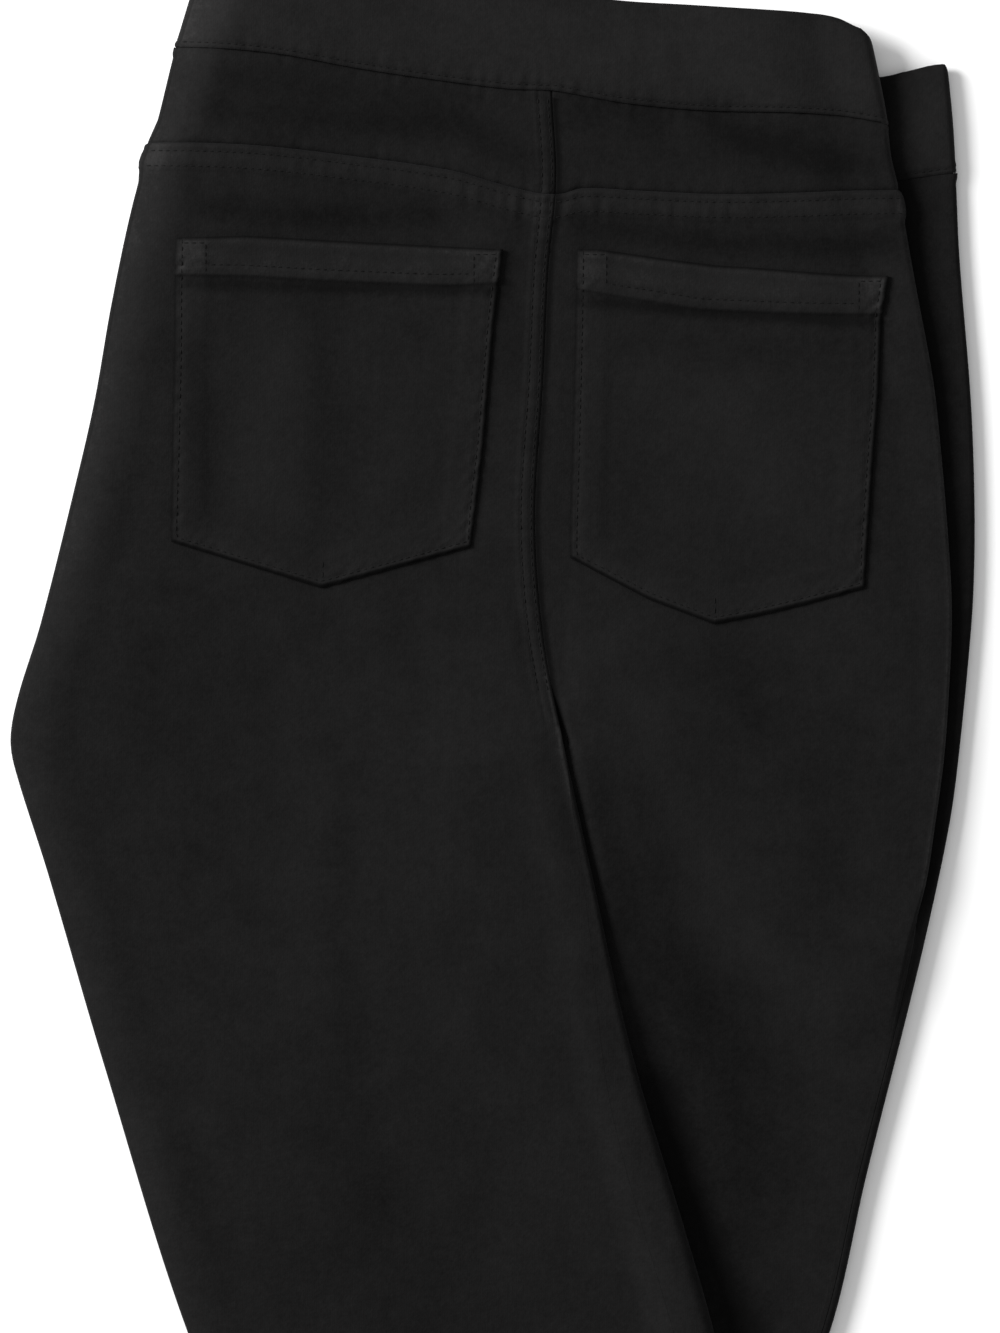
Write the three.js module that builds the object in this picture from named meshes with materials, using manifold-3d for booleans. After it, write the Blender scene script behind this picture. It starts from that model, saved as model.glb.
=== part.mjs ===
// Pull-on knit leggings laid flat with the back up and the left leg lying over the right.
// Millimetres. X runs across the garment, Y towards the waist, Z up from the surface it lies on.
// In the tables, down is the distance below the top of the waistband at the centre back, across
// is the distance to the right of the middle of the hips, and left and right are the wearer's.

import * as THREE from "three";
import { mergeVertices } from "three/addons/utils/BufferGeometryUtils.js";
import Module from "manifold-3d";

const wasm = await Module();
wasm.setup();

// Cloth
const CLOTH = 1.2; // one layer of knit
const FOLDED_CLOTH = 2.0; // the waistband with its elastic, and the turned-up hems
const SEAM_GAP = 0.3; // between pieces that are sewn side by side
const BAND_SEAM_GAP = 0.5; // along the seams that cross the folds
const INSEAM_GAP = 0.8; // along the cloth, where the left inseam lies on a tight fold
const CREST_GAP = 0.6; // the same for the right side seam
const LAYER_GAP = 0.3; // between layers that lie on each other
const HEM_HEIGHT = 25;
const HEM_STEP = 1.5; // length over which the hem's extra layer begins

// Where the flat garment lies in its frame: this point of the tables is the origin
const ORIGIN_ACROSS = -3.18;
const ORIGIN_DOWN = 480.66;

// Folded edges
const FOLD_SPREAD = 26; // how far in from a rounded edge the upper layer comes down again
const OUTER_SPREAD = 20; // the same at the right outer edge, where the tuck lies on it
const TUCK_CLIMB = 30; // how far the back takes to climb over the tuck's inner fold
const TUCK_SLACK = 0.4; // more room between the tuck's layers
const HIDDEN_FOLD = 1; // radius of a fold that is pressed flat under another layer
const TUCK_FADE_START = 365; // below this the tuck opens out
const TUCK_END = 404; // and here it is gone
const CREST = 4.8; // side seam to outer edge on the right leg, below the tuck
const STEP_FADE = 30; // length below the tuck over which its height dies away

// Legs: the crotch, and how each leg leans outwards from straight down, past the other
const CROTCH = 316.6;
const LEGS = {
  left: { lean: 0.34, hemDown: 955, hemAcross: 111.5 },
  right: { lean: -0.3, hemDown: 962, hemAcross: -88.8 },
};

// How the left leg climbs over the right one
const LEG_LIFT = 4.6; // two layers of the leg below, and clearance
const LIFT_CLEAR = 8; // the full height is reached this far outside the leg below
const LIFT_RAMP = 36;
const LIFT_START = 265; // the centre back seam begins to rise here
const LIFT_FULL = 310;

// Layers near the waistband lie further apart, because the band is thicker
const BAND_SPACING_END = 78;
const BAND_SPACING_FADE = 45;
const HEM_SPACING_START = 48;
const HEM_SPACING_FADE = 20;

// Outlines seen from above
const LEFT_EDGE = [
  { down: -22.1, across: -124.5 },
  { down: 0, across: -131.3 },
  { down: 20.4, across: -137.7 },
  { down: 54.4, across: -146.2 },
  { down: 85.4, across: -155.6 },
  { down: 128.8, across: -164.9 },
  { down: 170, across: -172.1 },
  { down: 204, across: -179.8 },
  { down: 265.2, across: -195.1 },
  { down: 295, across: -204.4 },
  { down: 312.4, across: -207.8 },
  { down: 325, across: -206.4 },
  { down: 370.6, across: -192.1 },
  { down: 450.5, across: -168.7 },
  { down: 566.5, across: -132.2 },
  { down: 650, across: -94.6 },
  { down: 740, across: -56.7 },
  { down: 850, across: -11.3 },
  { down: 990, across: 44.2 },
];
const LEFT_LEG_INNER_EDGE = [
  { down: 316.6, across: 28.5 },
  { down: 376, across: 40 },
  { down: 425, across: 50.5 },
  { down: 463, across: 60.3 },
  { down: 521, across: 78 },
  { down: 566.5, across: 91 },
  { down: 650, across: 110.2 },
  { down: 740, across: 133.5 },
  { down: 850, across: 162.9 },
  { down: 990, across: 202.6 },
];
const RIGHT_LEG_INNER_EDGE = [
  { down: 316.6, across: 28.5 },
  { down: 340, across: 8.5 },
  { down: 382.5, across: -19.1 },
  { down: 425, across: -38.3 },
  { down: 467.5, across: -54.4 },
  { down: 510, across: -66.7 },
  { down: 566.5, across: -80 },
  { down: 650, across: -96.4 },
  { down: 740, across: -116.2 },
  { down: 850, across: -141.3 },
  { down: 990, across: -175.5 },
];
const RIGHT_EDGE = [
  { down: 0, across: 189 },
  { down: 27.6, across: 190 },
  { down: 72.3, across: 193.4 },
  { down: 108.8, across: 195.1 },
  { down: 167.5, across: 199.8 },
  { down: 205, across: 201.4 },
  { down: 238, across: 201.5 },
  { down: 266, across: 200.2 },
  { down: 322.6, across: 194.7 },
  { down: 350.6, across: 190.8 },
  { down: 393.1, across: 181.9 },
  { down: 432.7, across: 172.4 },
  { down: 498.5, across: 155.8 },
  { down: 566.5, across: 139.8 },
  { down: 650, across: 106.2 },
  { down: 740, across: 71.8 },
  { down: 850, across: 30.9 },
  { down: 990, across: -18.9 },
];
// The back's rolled edge, which lies on the tuck at the right
const ROLLED_EDGE = [
  { down: 0, across: 154.5 },
  { down: 19.1, across: 157.7 },
  { down: 35.3, across: 160.7 },
  { down: 51.4, across: 164 },
  { down: 67.6, across: 166 },
  { down: 84.2, across: 170 },
  { down: 97.8, across: 172.1 },
  { down: 122, across: 176.4 },
  { down: 161, across: 183.6 },
  { down: 187, across: 186.6 },
  { down: 232.5, across: 190.4 },
  { down: 261.8, across: 191.7 },
  { down: 294.5, across: 190.4 },
  { down: 322.6, across: 188.3 },
  { down: 350.6, across: 184.5 },
  { down: 379, across: 180.2 },
  { down: 404, across: 174.7 },
];
const CENTRE_SEAM = [
  { down: -5, across: 22 },
  { down: 40.4, across: 22.1 },
  { down: 76.5, across: 23.8 },
  { down: 115.6, across: 20.4 },
  { down: 161, across: 18.3 },
  { down: 213, across: 14.9 },
  { down: 245.7, across: 15.3 },
  { down: 280.5, across: 20 },
  { down: 316.6, across: 28.5 },
];

// Fold radii of the middle of the cloth, the tuck's hidden depth, and how far the left inseam
// has rolled onto the upper side
const FOLDS = [
  { down: -22, leftOuter: 2.2, leftInner: 1, rightInner: 1, rightOuter: 1.6, roll: 2.8 },
  { down: 100, leftOuter: 2.4, leftInner: 1, rightInner: 1, rightOuter: 1.6, roll: 2.5 },
  { down: 230, leftOuter: 2.6, leftInner: 1, rightInner: 1, rightOuter: 1.6, roll: 2 },
  { down: 316.6, leftOuter: 2.6, leftInner: 1, rightInner: 1, rightOuter: 1.7, roll: 1.5 },
  { down: 404, leftOuter: 2.6, leftInner: 1.7, rightInner: 1, rightOuter: 2.2, roll: 1.1 },
  { down: 482, leftOuter: 2.5, leftInner: 2.6, rightInner: 1, rightOuter: 2.2, roll: 1.1 },
  { down: 566, leftOuter: 2.4, leftInner: 3.2, rightInner: 1, rightOuter: 2, roll: 1.1 },
  { down: 650, leftOuter: 2.2, leftInner: 3, rightInner: 1, rightOuter: 1, roll: 1.1 },
  { down: 760, leftOuter: 2, leftInner: 2.4, rightInner: 1.8, rightOuter: 1, roll: 1.1 },
  { down: 900, leftOuter: 1.9, leftInner: 2, rightInner: 1.8, rightOuter: 1, roll: 1.1 },
  { down: 990, leftOuter: 1.8, leftInner: 1.8, rightInner: 1.8, rightOuter: 1.4, roll: 1.1 },
];
const TUCK_DEPTH = [
  { down: 0, depth: 24 },
  { down: 120, depth: 22 },
  { down: 230, depth: 18 },
  { down: 300, depth: 13 },
  { down: 365, depth: 8 },
  { down: 404, depth: 6 },
];
const INSEAM_ROLL = [
  { down: 316.6, length: 0 },
  { down: 400, length: 7 },
  { down: 482, length: 17.5 },
  { down: 566, length: 19 },
  { down: 650, length: 15 },
  { down: 800, length: 8 },
  { down: 990, length: 4 },
];

// Heights of the sewn lines round the waist. around counts 0 to 1 over the left back, 1 to 2
// over the right back, 2 to 2.4 over the rolled edge to the side seam, 2.4 to 3 over the front
// where it lies in the tuck, 3 to 4 over the right front and 4 to 5.1 over the left front.
const SEAM_LINES = [
  { around: -0.1, waist: -22.1, band: 20.4, yoke: 60.8 },
  { around: 0, waist: -22.1, band: 20.4, yoke: 60.8 },
  { around: 0.25, waist: -17, band: 23.4, yoke: 62.1 },
  { around: 0.5, waist: -11.5, band: 30, yoke: 66.5 },
  { around: 0.75, waist: -6.8, band: 35.5, yoke: 72.5 },
  { around: 0.9, waist: -4.7, band: 38.3, yoke: 79.5 },
  { around: 1, waist: -3.4, band: 39, yoke: 82.7 },
  { around: 1.08, waist: -1.7, band: 40.8, yoke: 80.2 },
  { around: 1.25, waist: 0.9, band: 44.6, yoke: 81.2 },
  { around: 1.5, waist: 2.8, band: 47.6, yoke: 82.7 },
  { around: 1.75, waist: 5, band: 48.5, yoke: 82.2 },
  { around: 1.9, waist: 6.7, band: 49.7, yoke: 81.4 },
  { around: 1.95, waist: 8.6, band: 51, yoke: 81.3 },
  { around: 2, waist: 13, band: 52.6, yoke: 81.2 },
  { around: 2.1, waist: 16.6, band: 54, yoke: 81.6 },
  { around: 2.2, waist: 19.5, band: 55.4, yoke: 82 },
  { around: 2.4, waist: 28.5, band: 71, yoke: 84 },
  { around: 2.5, waist: 30.5, band: 72.4, yoke: 84 },
  { around: 2.64, waist: 33, band: 77, yoke: 84 },
  { around: 2.71, waist: 30.7, band: 75.8, yoke: 84 },
  { around: 2.8, waist: 27.6, band: 74, yoke: 84 },
  { around: 3, waist: 29.4, band: 73.5, yoke: 84 },
  { around: 3.1, waist: 31.8, band: 72, yoke: 84 },
  { around: 3.2, waist: 33.2, band: 70.6, yoke: 84 },
  { around: 3.4, waist: 30, band: 67.6, yoke: 84 },
  { around: 4, waist: 16, band: 59, yoke: 84 },
  { around: 5, waist: -20, band: 21, yoke: 84 },
  { around: 5.1, waist: -22.1, band: 20.4, yoke: 84 },
];

// Patch pockets: the outline, and the lower edge of the wide hem at the mouth
const POCKET_CLOTH = 1.2;
const POCKET_HEM_RISE = 0.7;
const POCKETS = {
  left: {
    outline: [
      { across: -137.3, down: 101.6 },
      { across: -107.5, down: 100.7 },
      { across: -57.8, down: 103.3 },
      { across: 1.3, down: 106.3 },
      { across: -12.3, down: 232.5 },
      { across: -75.9, down: 249.9 },
      { across: -139.4, down: 230.4 },
      { across: -138.7, down: 151.3 },
    ],
    hemEdge: [
      { across: -1, down: 120.3 },
      { across: -20.4, down: 121.6 },
      { across: -76.5, down: 119.4 },
      { across: -137.5, down: 117.3 },
    ],
    mouthPoints: 4,
  },
  right: {
    outline: [
      { across: 32.5, down: 106.3 },
      { across: 41.7, down: 106.3 },
      { across: 71.4, down: 110.5 },
      { across: 110.5, down: 114.3 },
      { across: 164.5, down: 117.7 },
      { across: 160.7, down: 167.5 },
      { across: 154.7, down: 249.9 },
      { across: 90.5, down: 265.2 },
      { across: 29.8, down: 237.2 },
      { across: 31, down: 178.5 },
    ],
    hemEdge: [
      { across: 163, down: 133.9 },
      { across: 143.2, down: 133.9 },
      { across: 104.1, down: 132.6 },
      { across: 84.6, down: 131.8 },
      { across: 45.5, down: 125.4 },
      { across: 32, down: 122.8 },
    ],
    mouthPoints: 5,
  },
};

// How finely each stretch is divided
const PARTS = {
  quarterTurn: 3,
  halfTurn: 5,
  leftRun: 10,
  seamZone: 3,
  inseamRun: 2,
  rightRun: 5,
  climb: 4,
  shelf: 3,
  under: 3,
  turnBack: 4,
  return: 5,
  bottomRun: 7,
  band: 2,
  yoke: 2,
  aboveHips: 2,
  hips: 8,
  legs: 21,
};
const TURN_START = 0.08; // share of a turn left free beside the side seam
const UNDER_END = 0.95;
const SEAM_ZONE = 2.4; // fine strip beside the centre seam and the right inseam
const HIP_ROWS_START = 104; // the rows of both layers are level from here to the crotch
const LEG_ROW_GROWTH = 1.25; // rows lie closer together near the crotch

const clamp = (value) => Math.min(1, Math.max(0, value));
const mix = (from, to, share) => from + (to - from) * share;
const ease = (value) => clamp(value) ** 2 * (3 - 2 * clamp(value));
const fall = (value) => 1 - ease(value);

// A smooth curve through one column of a table, read at any value of its key column.
function read(table, key, at, column) {
  const last = table.length - 1;
  let i = 0;
  while (i < last - 1 && at > table[i + 1][key]) i++;
  const slope = (n) => {
    const a = table[Math.max(0, n - 1)];
    const b = table[Math.min(last, n + 1)];
    return (b[column] - a[column]) / (b[key] - a[key]);
  };
  const step = table[i + 1][key] - table[i][key];
  const s = (at - table[i][key]) / step;
  if (s <= 0) return table[i][column] + slope(i) * s * step;
  if (s >= 1) return table[i + 1][column] + slope(i + 1) * (s - 1) * step;
  const start = table[i][column];
  const rise = table[i + 1][column] - start;
  const first = slope(i) * step;
  const second = slope(i + 1) * step;
  const square = 3 * rise - 2 * first - second;
  const cube = first + second - 2 * rise;
  return start + first * s + square * s ** 2 + cube * s ** 3;
}

const edge = (table, down) => read(table, "down", down, "across");

// Distance up the leg from its hem line.
function aboveHem(leg, across, down) {
  const line = leg.hemDown - leg.lean * (across - leg.hemAcross);
  return (line - down) / Math.hypot(1, leg.lean);
}

// Spacing of the two layers of a tube of cloth.
function spacing(leg, across, down) {
  const nearBand = fall((down - BAND_SPACING_END) / BAND_SPACING_FADE);
  const nearHem = ease((HEM_SPACING_START - aboveHem(leg, across, down)) / HEM_SPACING_FADE);
  return CLOTH + LAYER_GAP + (FOLDED_CLOTH - CLOTH) * Math.max(nearBand, nearHem);
}

// A folded edge: the radius of its turn, and the middle of the turn across the garment.
function fold(name, down, cloth) {
  const sides = {
    leftOuter: { table: LEFT_EDGE, inwards: 1, leg: LEGS.left },
    leftInner: { table: LEFT_LEG_INNER_EDGE, inwards: -1, leg: LEGS.left },
    rightInner: { table: RIGHT_LEG_INNER_EDGE, inwards: 1, leg: LEGS.right },
    rightOuter: { table: RIGHT_EDGE, inwards: -1, leg: LEGS.right },
    roll: { table: ROLLED_EDGE, inwards: -1, leg: LEGS.right },
  };
  const side = sides[name];
  const outline = edge(side.table, down);
  const least = spacing(side.leg, outline, down) / 2;
  const radius = Math.max(least, read(FOLDS, "down", down, name));
  return { radius, middle: outline + side.inwards * (cloth / 2 + radius) };
}

// How far the left leg is lifted by the right leg below it.
function lift(across, down) {
  const below = Math.max(down, CROTCH);
  const start = down < CROTCH ? edge(CENTRE_SEAM, down) : edge(RIGHT_LEG_INNER_EDGE, below);
  const end = edge(RIGHT_EDGE, below);
  const up = ease((across - start + LIFT_CLEAR + LIFT_RAMP) / LIFT_RAMP);
  const off = fall((across - end - LIFT_CLEAR) / LIFT_RAMP);
  return LEG_LIFT * up * off * ease((down - LIFT_START) / (LIFT_FULL - LIFT_START));
}

// The upper layer of the left side, hip and leg.
function leftTop(across, down, cloth) {
  const gap = spacing(LEGS.left, across, down);
  const outer = fold("leftOuter", down, cloth);
  let level = gap + (2 * outer.radius - gap) * fall((across - outer.middle) / FOLD_SPREAD);
  if (down > CROTCH) {
    const inner = fold("leftInner", down, cloth);
    level += (2 * inner.radius - gap) * fall((inner.middle - across) / FOLD_SPREAD);
  }
  return level + lift(across, down);
}

// A place each side of the left inseam, by its distance along the cloth from the seam. Above the
// crotch the same distance is measured from the centre seam, back or front.
function besideInseam(length, down, cloth) {
  if (down < CROTCH) {
    const across = edge(CENTRE_SEAM, down) - Math.abs(length);
    return length < 0 ? [across, leftTop(across, down, cloth)] : [across, lift(across, down)];
  }
  const { radius, middle } = fold("leftInner", down, cloth);
  const quarter = (radius * Math.PI) / 2;
  const past = length - Math.max(0, read(INSEAM_ROLL, "down", down, "length"));
  if (past < -quarter) {
    const across = middle + past + quarter;
    return [across, leftTop(across, down, cloth)];
  }
  if (past > quarter) {
    const across = middle - (past - quarter);
    return [across, lift(across, down)];
  }
  const angle = -past / radius;
  const across = middle + radius * Math.cos(angle);
  return [across, radius * (1 + Math.sin(angle)) + lift(across, down)];
}

// The left folded edge, from its side seam up (turn 1) or down (turn -1).
function leftTurn(turn, share) {
  return (down, cloth) => {
    const { radius, middle } = fold("leftOuter", down, cloth);
    const angle = Math.PI - (turn * share * Math.PI) / 2;
    const across = middle + radius * Math.cos(angle);
    return [across, radius * (1 + Math.sin(angle)) + lift(across, down)];
  };
}

// Sizes of the tuck's section at one height: the layers, from the bottom, are the front, the
// front again where it lies in the tuck (shelf), the back rolled under, and the back.
function tuckSection(down, cloth) {
  const outer = fold("rightOuter", down, cloth);
  const roll = fold("roll", down, cloth);
  const inner = edge(ROLLED_EDGE, down) - cloth / 2 - read(TUCK_DEPTH, "down", down, "depth");
  const gap = spacing(LEGS.right, inner, down) + TUCK_SLACK;
  const shelf = (across) => {
    const plain = spacing(LEGS.right, across, down);
    return plain + (2 * outer.radius - plain) * fall((outer.middle - across) / OUTER_SPREAD);
  };
  const under = (across) => shelf(across) + gap;
  const back = (across) =>
    shelf(across) +
    2 * gap * ease((across - inner + TUCK_CLIMB) / TUCK_CLIMB) +
    (2 * roll.radius - gap) * ease((across - inner) / (roll.middle - inner));
  const crest = edge(RIGHT_EDGE, down) - CREST;
  const opened = ease((down - TUCK_FADE_START) / (TUCK_END - TUCK_FADE_START));
  return { gap, outer, roll, inner, shelf, under, back, crest, opened };
}

// The upper layer of the right side where it is plain, which the right leg's inner fold raises.
function rightInnerRise(across, down, cloth) {
  if (down < CROTCH) return 0;
  const { radius, middle } = fold("rightInner", down, cloth);
  return (2 * radius - spacing(LEGS.right, across, down)) * fall((across - middle) / FOLD_SPREAD);
}

// A place beside the centre seam or the right inseam, by its distance along the cloth from it.
function besideCentre(length, onTop, down, cloth) {
  if (down < CROTCH) {
    const across = edge(CENTRE_SEAM, down) + length;
    return [across, onTop ? tuckSection(down, cloth).back(across) : 0];
  }
  const { radius, middle } = fold("rightInner", down, cloth);
  const quarter = (radius * Math.PI) / 2;
  if (length > quarter) {
    const across = middle + length - quarter;
    const level = spacing(LEGS.right, across, down) + rightInnerRise(across, down, cloth);
    return [across, onTop ? level : 0];
  }
  const angle = Math.PI - (onTop ? 1 : -1) * (length / radius);
  return [middle + radius * Math.cos(angle), radius * (1 + Math.sin(angle))];
}

// One stretch of the right side's section, at a share of its length. Each place is worked out
// for the tuck and for the plain leg below it, and the two are blended where the tuck opens out.
function rightStretch(name, share) {
  return (down, cloth) => {
    const s = tuckSection(down, cloth);
    const { roll, outer, inner, crest } = s;
    const zoneEnd = besideCentre(SEAM_ZONE, true, down, cloth)[0];
    const turned = (share - 0.5) * -Math.PI;
    const backAt = (across) => [across, s.back(across)];
    const half = s.gap / 2;
    const folded = {
      run: () => backAt(mix(zoneEnd, inner - TUCK_CLIMB, share)),
      climb: () => backAt(mix(inner - TUCK_CLIMB, inner, share)),
      shelf: () => backAt(mix(inner, roll.middle, share)),
      roll: () => [
        roll.middle + roll.radius * Math.cos(turned),
        s.under(roll.middle) + roll.radius * (1 + Math.sin(turned)),
      ],
      under: () => {
        const across = mix(roll.middle, inner + half, share);
        return [across, s.under(across)];
      },
      turnBack: () => [
        inner + half - half * Math.cos(turned),
        s.shelf(inner + half) + half * (1 + Math.sin(turned)),
      ],
      return: () => {
        const across = mix(inner + half, outer.middle, share);
        return [across, s.shelf(across)];
      },
    }[name]();
    const step = {
      run: { from: zoneEnd, to: crest - 50, high: 0, low: 0 },
      climb: { from: crest - 50, to: crest - 25, high: 0, low: 2 },
      shelf: { from: crest - 25, to: crest - 8, high: 2, low: 2 },
      roll: { from: crest - 8, to: crest - 3, high: 2, low: 1.5 },
      under: { from: crest - 3, to: crest - CREST_GAP / 2, high: 1.5, low: 0.65 },
      turnBack: { from: crest + CREST_GAP / 2, to: crest + 0.8, high: 0.4, low: 0.1 },
      return: { from: crest + 0.8, to: outer.middle, high: 0.1, low: 0 },
    }[name];
    const across = mix(step.from, step.to, share);
    const raised = s.gap * mix(step.high, step.low, ease(share)) * fall((down - TUCK_END) / STEP_FADE);
    const plain = [across, s.shelf(across) + raised];
    const blended = folded.map((value, n) => mix(value, plain[n], s.opened));
    blended[1] += rightInnerRise(blended[0], down, cloth);
    return blended;
  };
}

function outerTurn(share) {
  return (down, cloth) => {
    const { radius, middle } = fold("rightOuter", down, cloth);
    const angle = (0.5 - share) * Math.PI;
    return [middle + radius * Math.cos(angle), radius * (1 + Math.sin(angle))];
  };
}

// Columns: each is a place round the garment, with a function that gives the place across and
// the level of the cloth at any height. Stretches follow each other clockwise seen from the hem.
function stretch(count, from, to, place, skipFirst = true) {
  const columns = [];
  for (let n = skipFirst ? 1 : 0; n <= count; n++) {
    const share = n / count;
    columns.push({ around: mix(from, to, share), place: place(share) });
  }
  return columns;
}

// The left side's wide run has the same columns in both layers, and ends here. Past it come
// distances along the cloth, from the inseam to the run's end on the back and on the front.
function leftInner(down, cloth) {
  const rolled = down < CROTCH ? 0 : Math.max(0, read(INSEAM_ROLL, "down", down, "length"));
  const outline = edge(down < CROTCH ? CENTRE_SEAM : LEFT_LEG_INNER_EDGE, down);
  const limit = outline - rolled - 2 * SEAM_ZONE;
  if (down < CROTCH) {
    const length = outline - limit;
    return {
      limit,
      backLength: length,
      turnStart: HIDDEN_FOLD / 2,
      turnEnd: HIDDEN_FOLD * Math.PI,
      frontLength: length,
    };
  }
  const { radius, middle } = fold("leftInner", down, cloth);
  const quarter = (radius * Math.PI) / 2;
  return {
    limit,
    backLength: middle - limit + quarter - rolled,
    turnStart: Math.max(HIDDEN_FOLD / 2, rolled - quarter),
    turnEnd: rolled + quarter,
    frontLength: middle - limit + quarter + rolled,
  };
}

function backLeftColumns() {
  const zone = (share) => (down, cloth) => {
    const length = leftInner(down, cloth).backLength * (1 - share) ** 2;
    return besideInseam(-Math.max(INSEAM_GAP / 2, length), down, cloth);
  };
  const run = (share) => (down, cloth) => {
    const start = fold("leftOuter", down, cloth).middle;
    const across = mix(start, leftInner(down, cloth).limit, share);
    return [across, leftTop(across, down, cloth)];
  };
  const turn = (share) => leftTurn(1, mix(TURN_START, 1, share));
  return [
    ...stretch(PARTS.quarterTurn, -0.1, 0, turn, false),
    ...stretch(PARTS.leftRun, 0, 0.985, run),
    ...stretch(PARTS.seamZone, 0.985, 1, zone),
  ];
}

function backRightColumns() {
  const zone = (share) => (down, cloth) =>
    besideCentre(mix(SEAM_GAP / 2, SEAM_ZONE, share), true, down, cloth);
  const tucked = (share) => rightStretch("under", share * UNDER_END);
  return [
    ...stretch(PARTS.seamZone, 1, 1.015, zone, false),
    ...stretch(PARTS.rightRun, 1.015, 1.66, (share) => rightStretch("run", share)),
    ...stretch(PARTS.climb, 1.66, 1.88, (share) => rightStretch("climb", share)),
    ...stretch(PARTS.shelf, 1.88, 2, (share) => rightStretch("shelf", share)),
    ...stretch(PARTS.halfTurn, 2, 2.2, (share) => rightStretch("roll", share)),
    ...stretch(PARTS.under, 2.2, 2.4, tucked),
  ];
}

function frontRightColumns(endsAtCentre = true) {
  const bottom = (share) => (down, cloth) => {
    const start = fold("rightOuter", down, cloth).middle;
    const end = besideCentre(SEAM_ZONE, false, down, cloth)[0];
    return [mix(start, end, share), 0];
  };
  const zone = (share) => (down, cloth) =>
    besideCentre(mix(SEAM_ZONE, SEAM_GAP / 2, share), false, down, cloth);
  const turnBack = (share) => rightStretch("turnBack", mix(TURN_START, 1, share));
  const columns = [
    ...stretch(PARTS.turnBack, 2.4, 2.5, turnBack, false),
    ...stretch(PARTS.return, 2.5, 2.8, (share) => rightStretch("return", share)),
    ...stretch(PARTS.halfTurn, 2.8, 3, outerTurn),
    ...stretch(PARTS.bottomRun, 3, 3.985, bottom),
  ];
  return endsAtCentre ? [...columns, ...stretch(PARTS.seamZone, 3.985, 4, zone)] : columns;
}

function frontLeftColumns(startsAtCentre = true) {
  const wrap = (from, to) => (share) => (down, cloth) => {
    const lengths = { seam: INSEAM_GAP / 2, ...leftInner(down, cloth) };
    return besideInseam(mix(lengths[from], lengths[to], share), down, cloth);
  };
  const bottom = (share) => (down, cloth) => {
    const end = fold("leftOuter", down, cloth).middle;
    const across = mix(leftInner(down, cloth).limit, end, share);
    return [across, lift(across, down)];
  };
  const turn = (share) => leftTurn(-1, mix(1, TURN_START, share));
  const columns = [
    ...stretch(PARTS.leftRun, 4.03, 5, bottom),
    ...stretch(PARTS.quarterTurn, 5, 5.1, turn),
  ];
  if (!startsAtCentre) return columns;
  return [
    ...stretch(PARTS.inseamRun, 4, 4.01, wrap("seam", "turnStart"), false),
    ...stretch(PARTS.halfTurn, 4.01, 4.02, wrap("turnStart", "turnEnd")),
    ...stretch(PARTS.inseamRun, 4.02, 4.03, wrap("turnEnd", "frontLength")),
    ...columns,
  ];
}

// Rows of a piece between two sewn lines.
function rowsBetween(count, top, bottom) {
  const rows = [];
  for (let n = 0; n <= count; n++) {
    rows.push((column) => {
      const start = read(SEAM_LINES, "around", column.around, top);
      const end = read(SEAM_LINES, "around", column.around, bottom);
      const upper = start + (top === "waist" ? 0 : BAND_SEAM_GAP / 2);
      return mix(upper, end - BAND_SEAM_GAP / 2, n / count);
    });
  }
  return rows;
}

// How far down a column reaches a line parallel to its leg's hem.
function downAtHem(leg, column, above) {
  let down = leg.hemDown;
  for (let n = 0; n < 8; n++) {
    const across = column.place(down, CLOTH)[0];
    down += aboveHem(leg, across, down) - above;
  }
  return down;
}

// Rows of a leg panel: down the hips to the crotch, down the leg, and over the hem.
function panelRows(leg, top) {
  const rows = [];
  for (let n = 0; n < PARTS.aboveHips; n++) {
    rows.push((column) => {
      const start = read(SEAM_LINES, "around", column.around, top) + SEAM_GAP / 2;
      return mix(start, HIP_ROWS_START, n / PARTS.aboveHips);
    });
  }
  for (let n = 0; n <= PARTS.hips; n++) rows.push(() => mix(HIP_ROWS_START, CROTCH, n / PARTS.hips));
  for (let n = 1; n <= PARTS.legs; n++) {
    const share = (n / PARTS.legs) ** LEG_ROW_GROWTH;
    rows.push((column) => mix(CROTCH + 0.01, downAtHem(leg, column, HEM_HEIGHT + HEM_STEP), share));
  }
  for (const above of [HEM_HEIGHT, HEM_HEIGHT / 2, 0]) {
    rows.push((column) => downAtHem(leg, column, above));
  }
  return rows;
}

// Thickness of a leg panel: the hem is turned up, so its wall is thicker.
const panelCloth = (leg) => (across, down) =>
  mix(FOLDED_CLOTH, CLOTH, ease((aboveHem(leg, across, down) - HEM_HEIGHT) / HEM_STEP));

// The direction of a line of points at point n: through its neighbours, or at an end along the
// curve through the end and the next two.
function tangent(n, count, pointAt) {
  const end = n === 0 || n === count - 1;
  const side = n === 0 ? 1 : -1;
  if (!end) return new THREE.Vector3().subVectors(pointAt(n + 1), pointAt(n - 1));
  if (count < 3) return new THREE.Vector3().subVectors(pointAt(n + side), pointAt(n)).multiplyScalar(side);
  const near = pointAt(n + side);
  const far = pointAt(n + 2 * side);
  const start = pointAt(n);
  const first = near.distanceTo(start);
  const second = far.distanceTo(start);
  const direction = new THREE.Vector3();
  direction.addScaledVector(near.clone().sub(start), second / first);
  direction.addScaledVector(far.clone().sub(start), -first / second);
  return direction.multiplyScalar(side);
}

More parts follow.
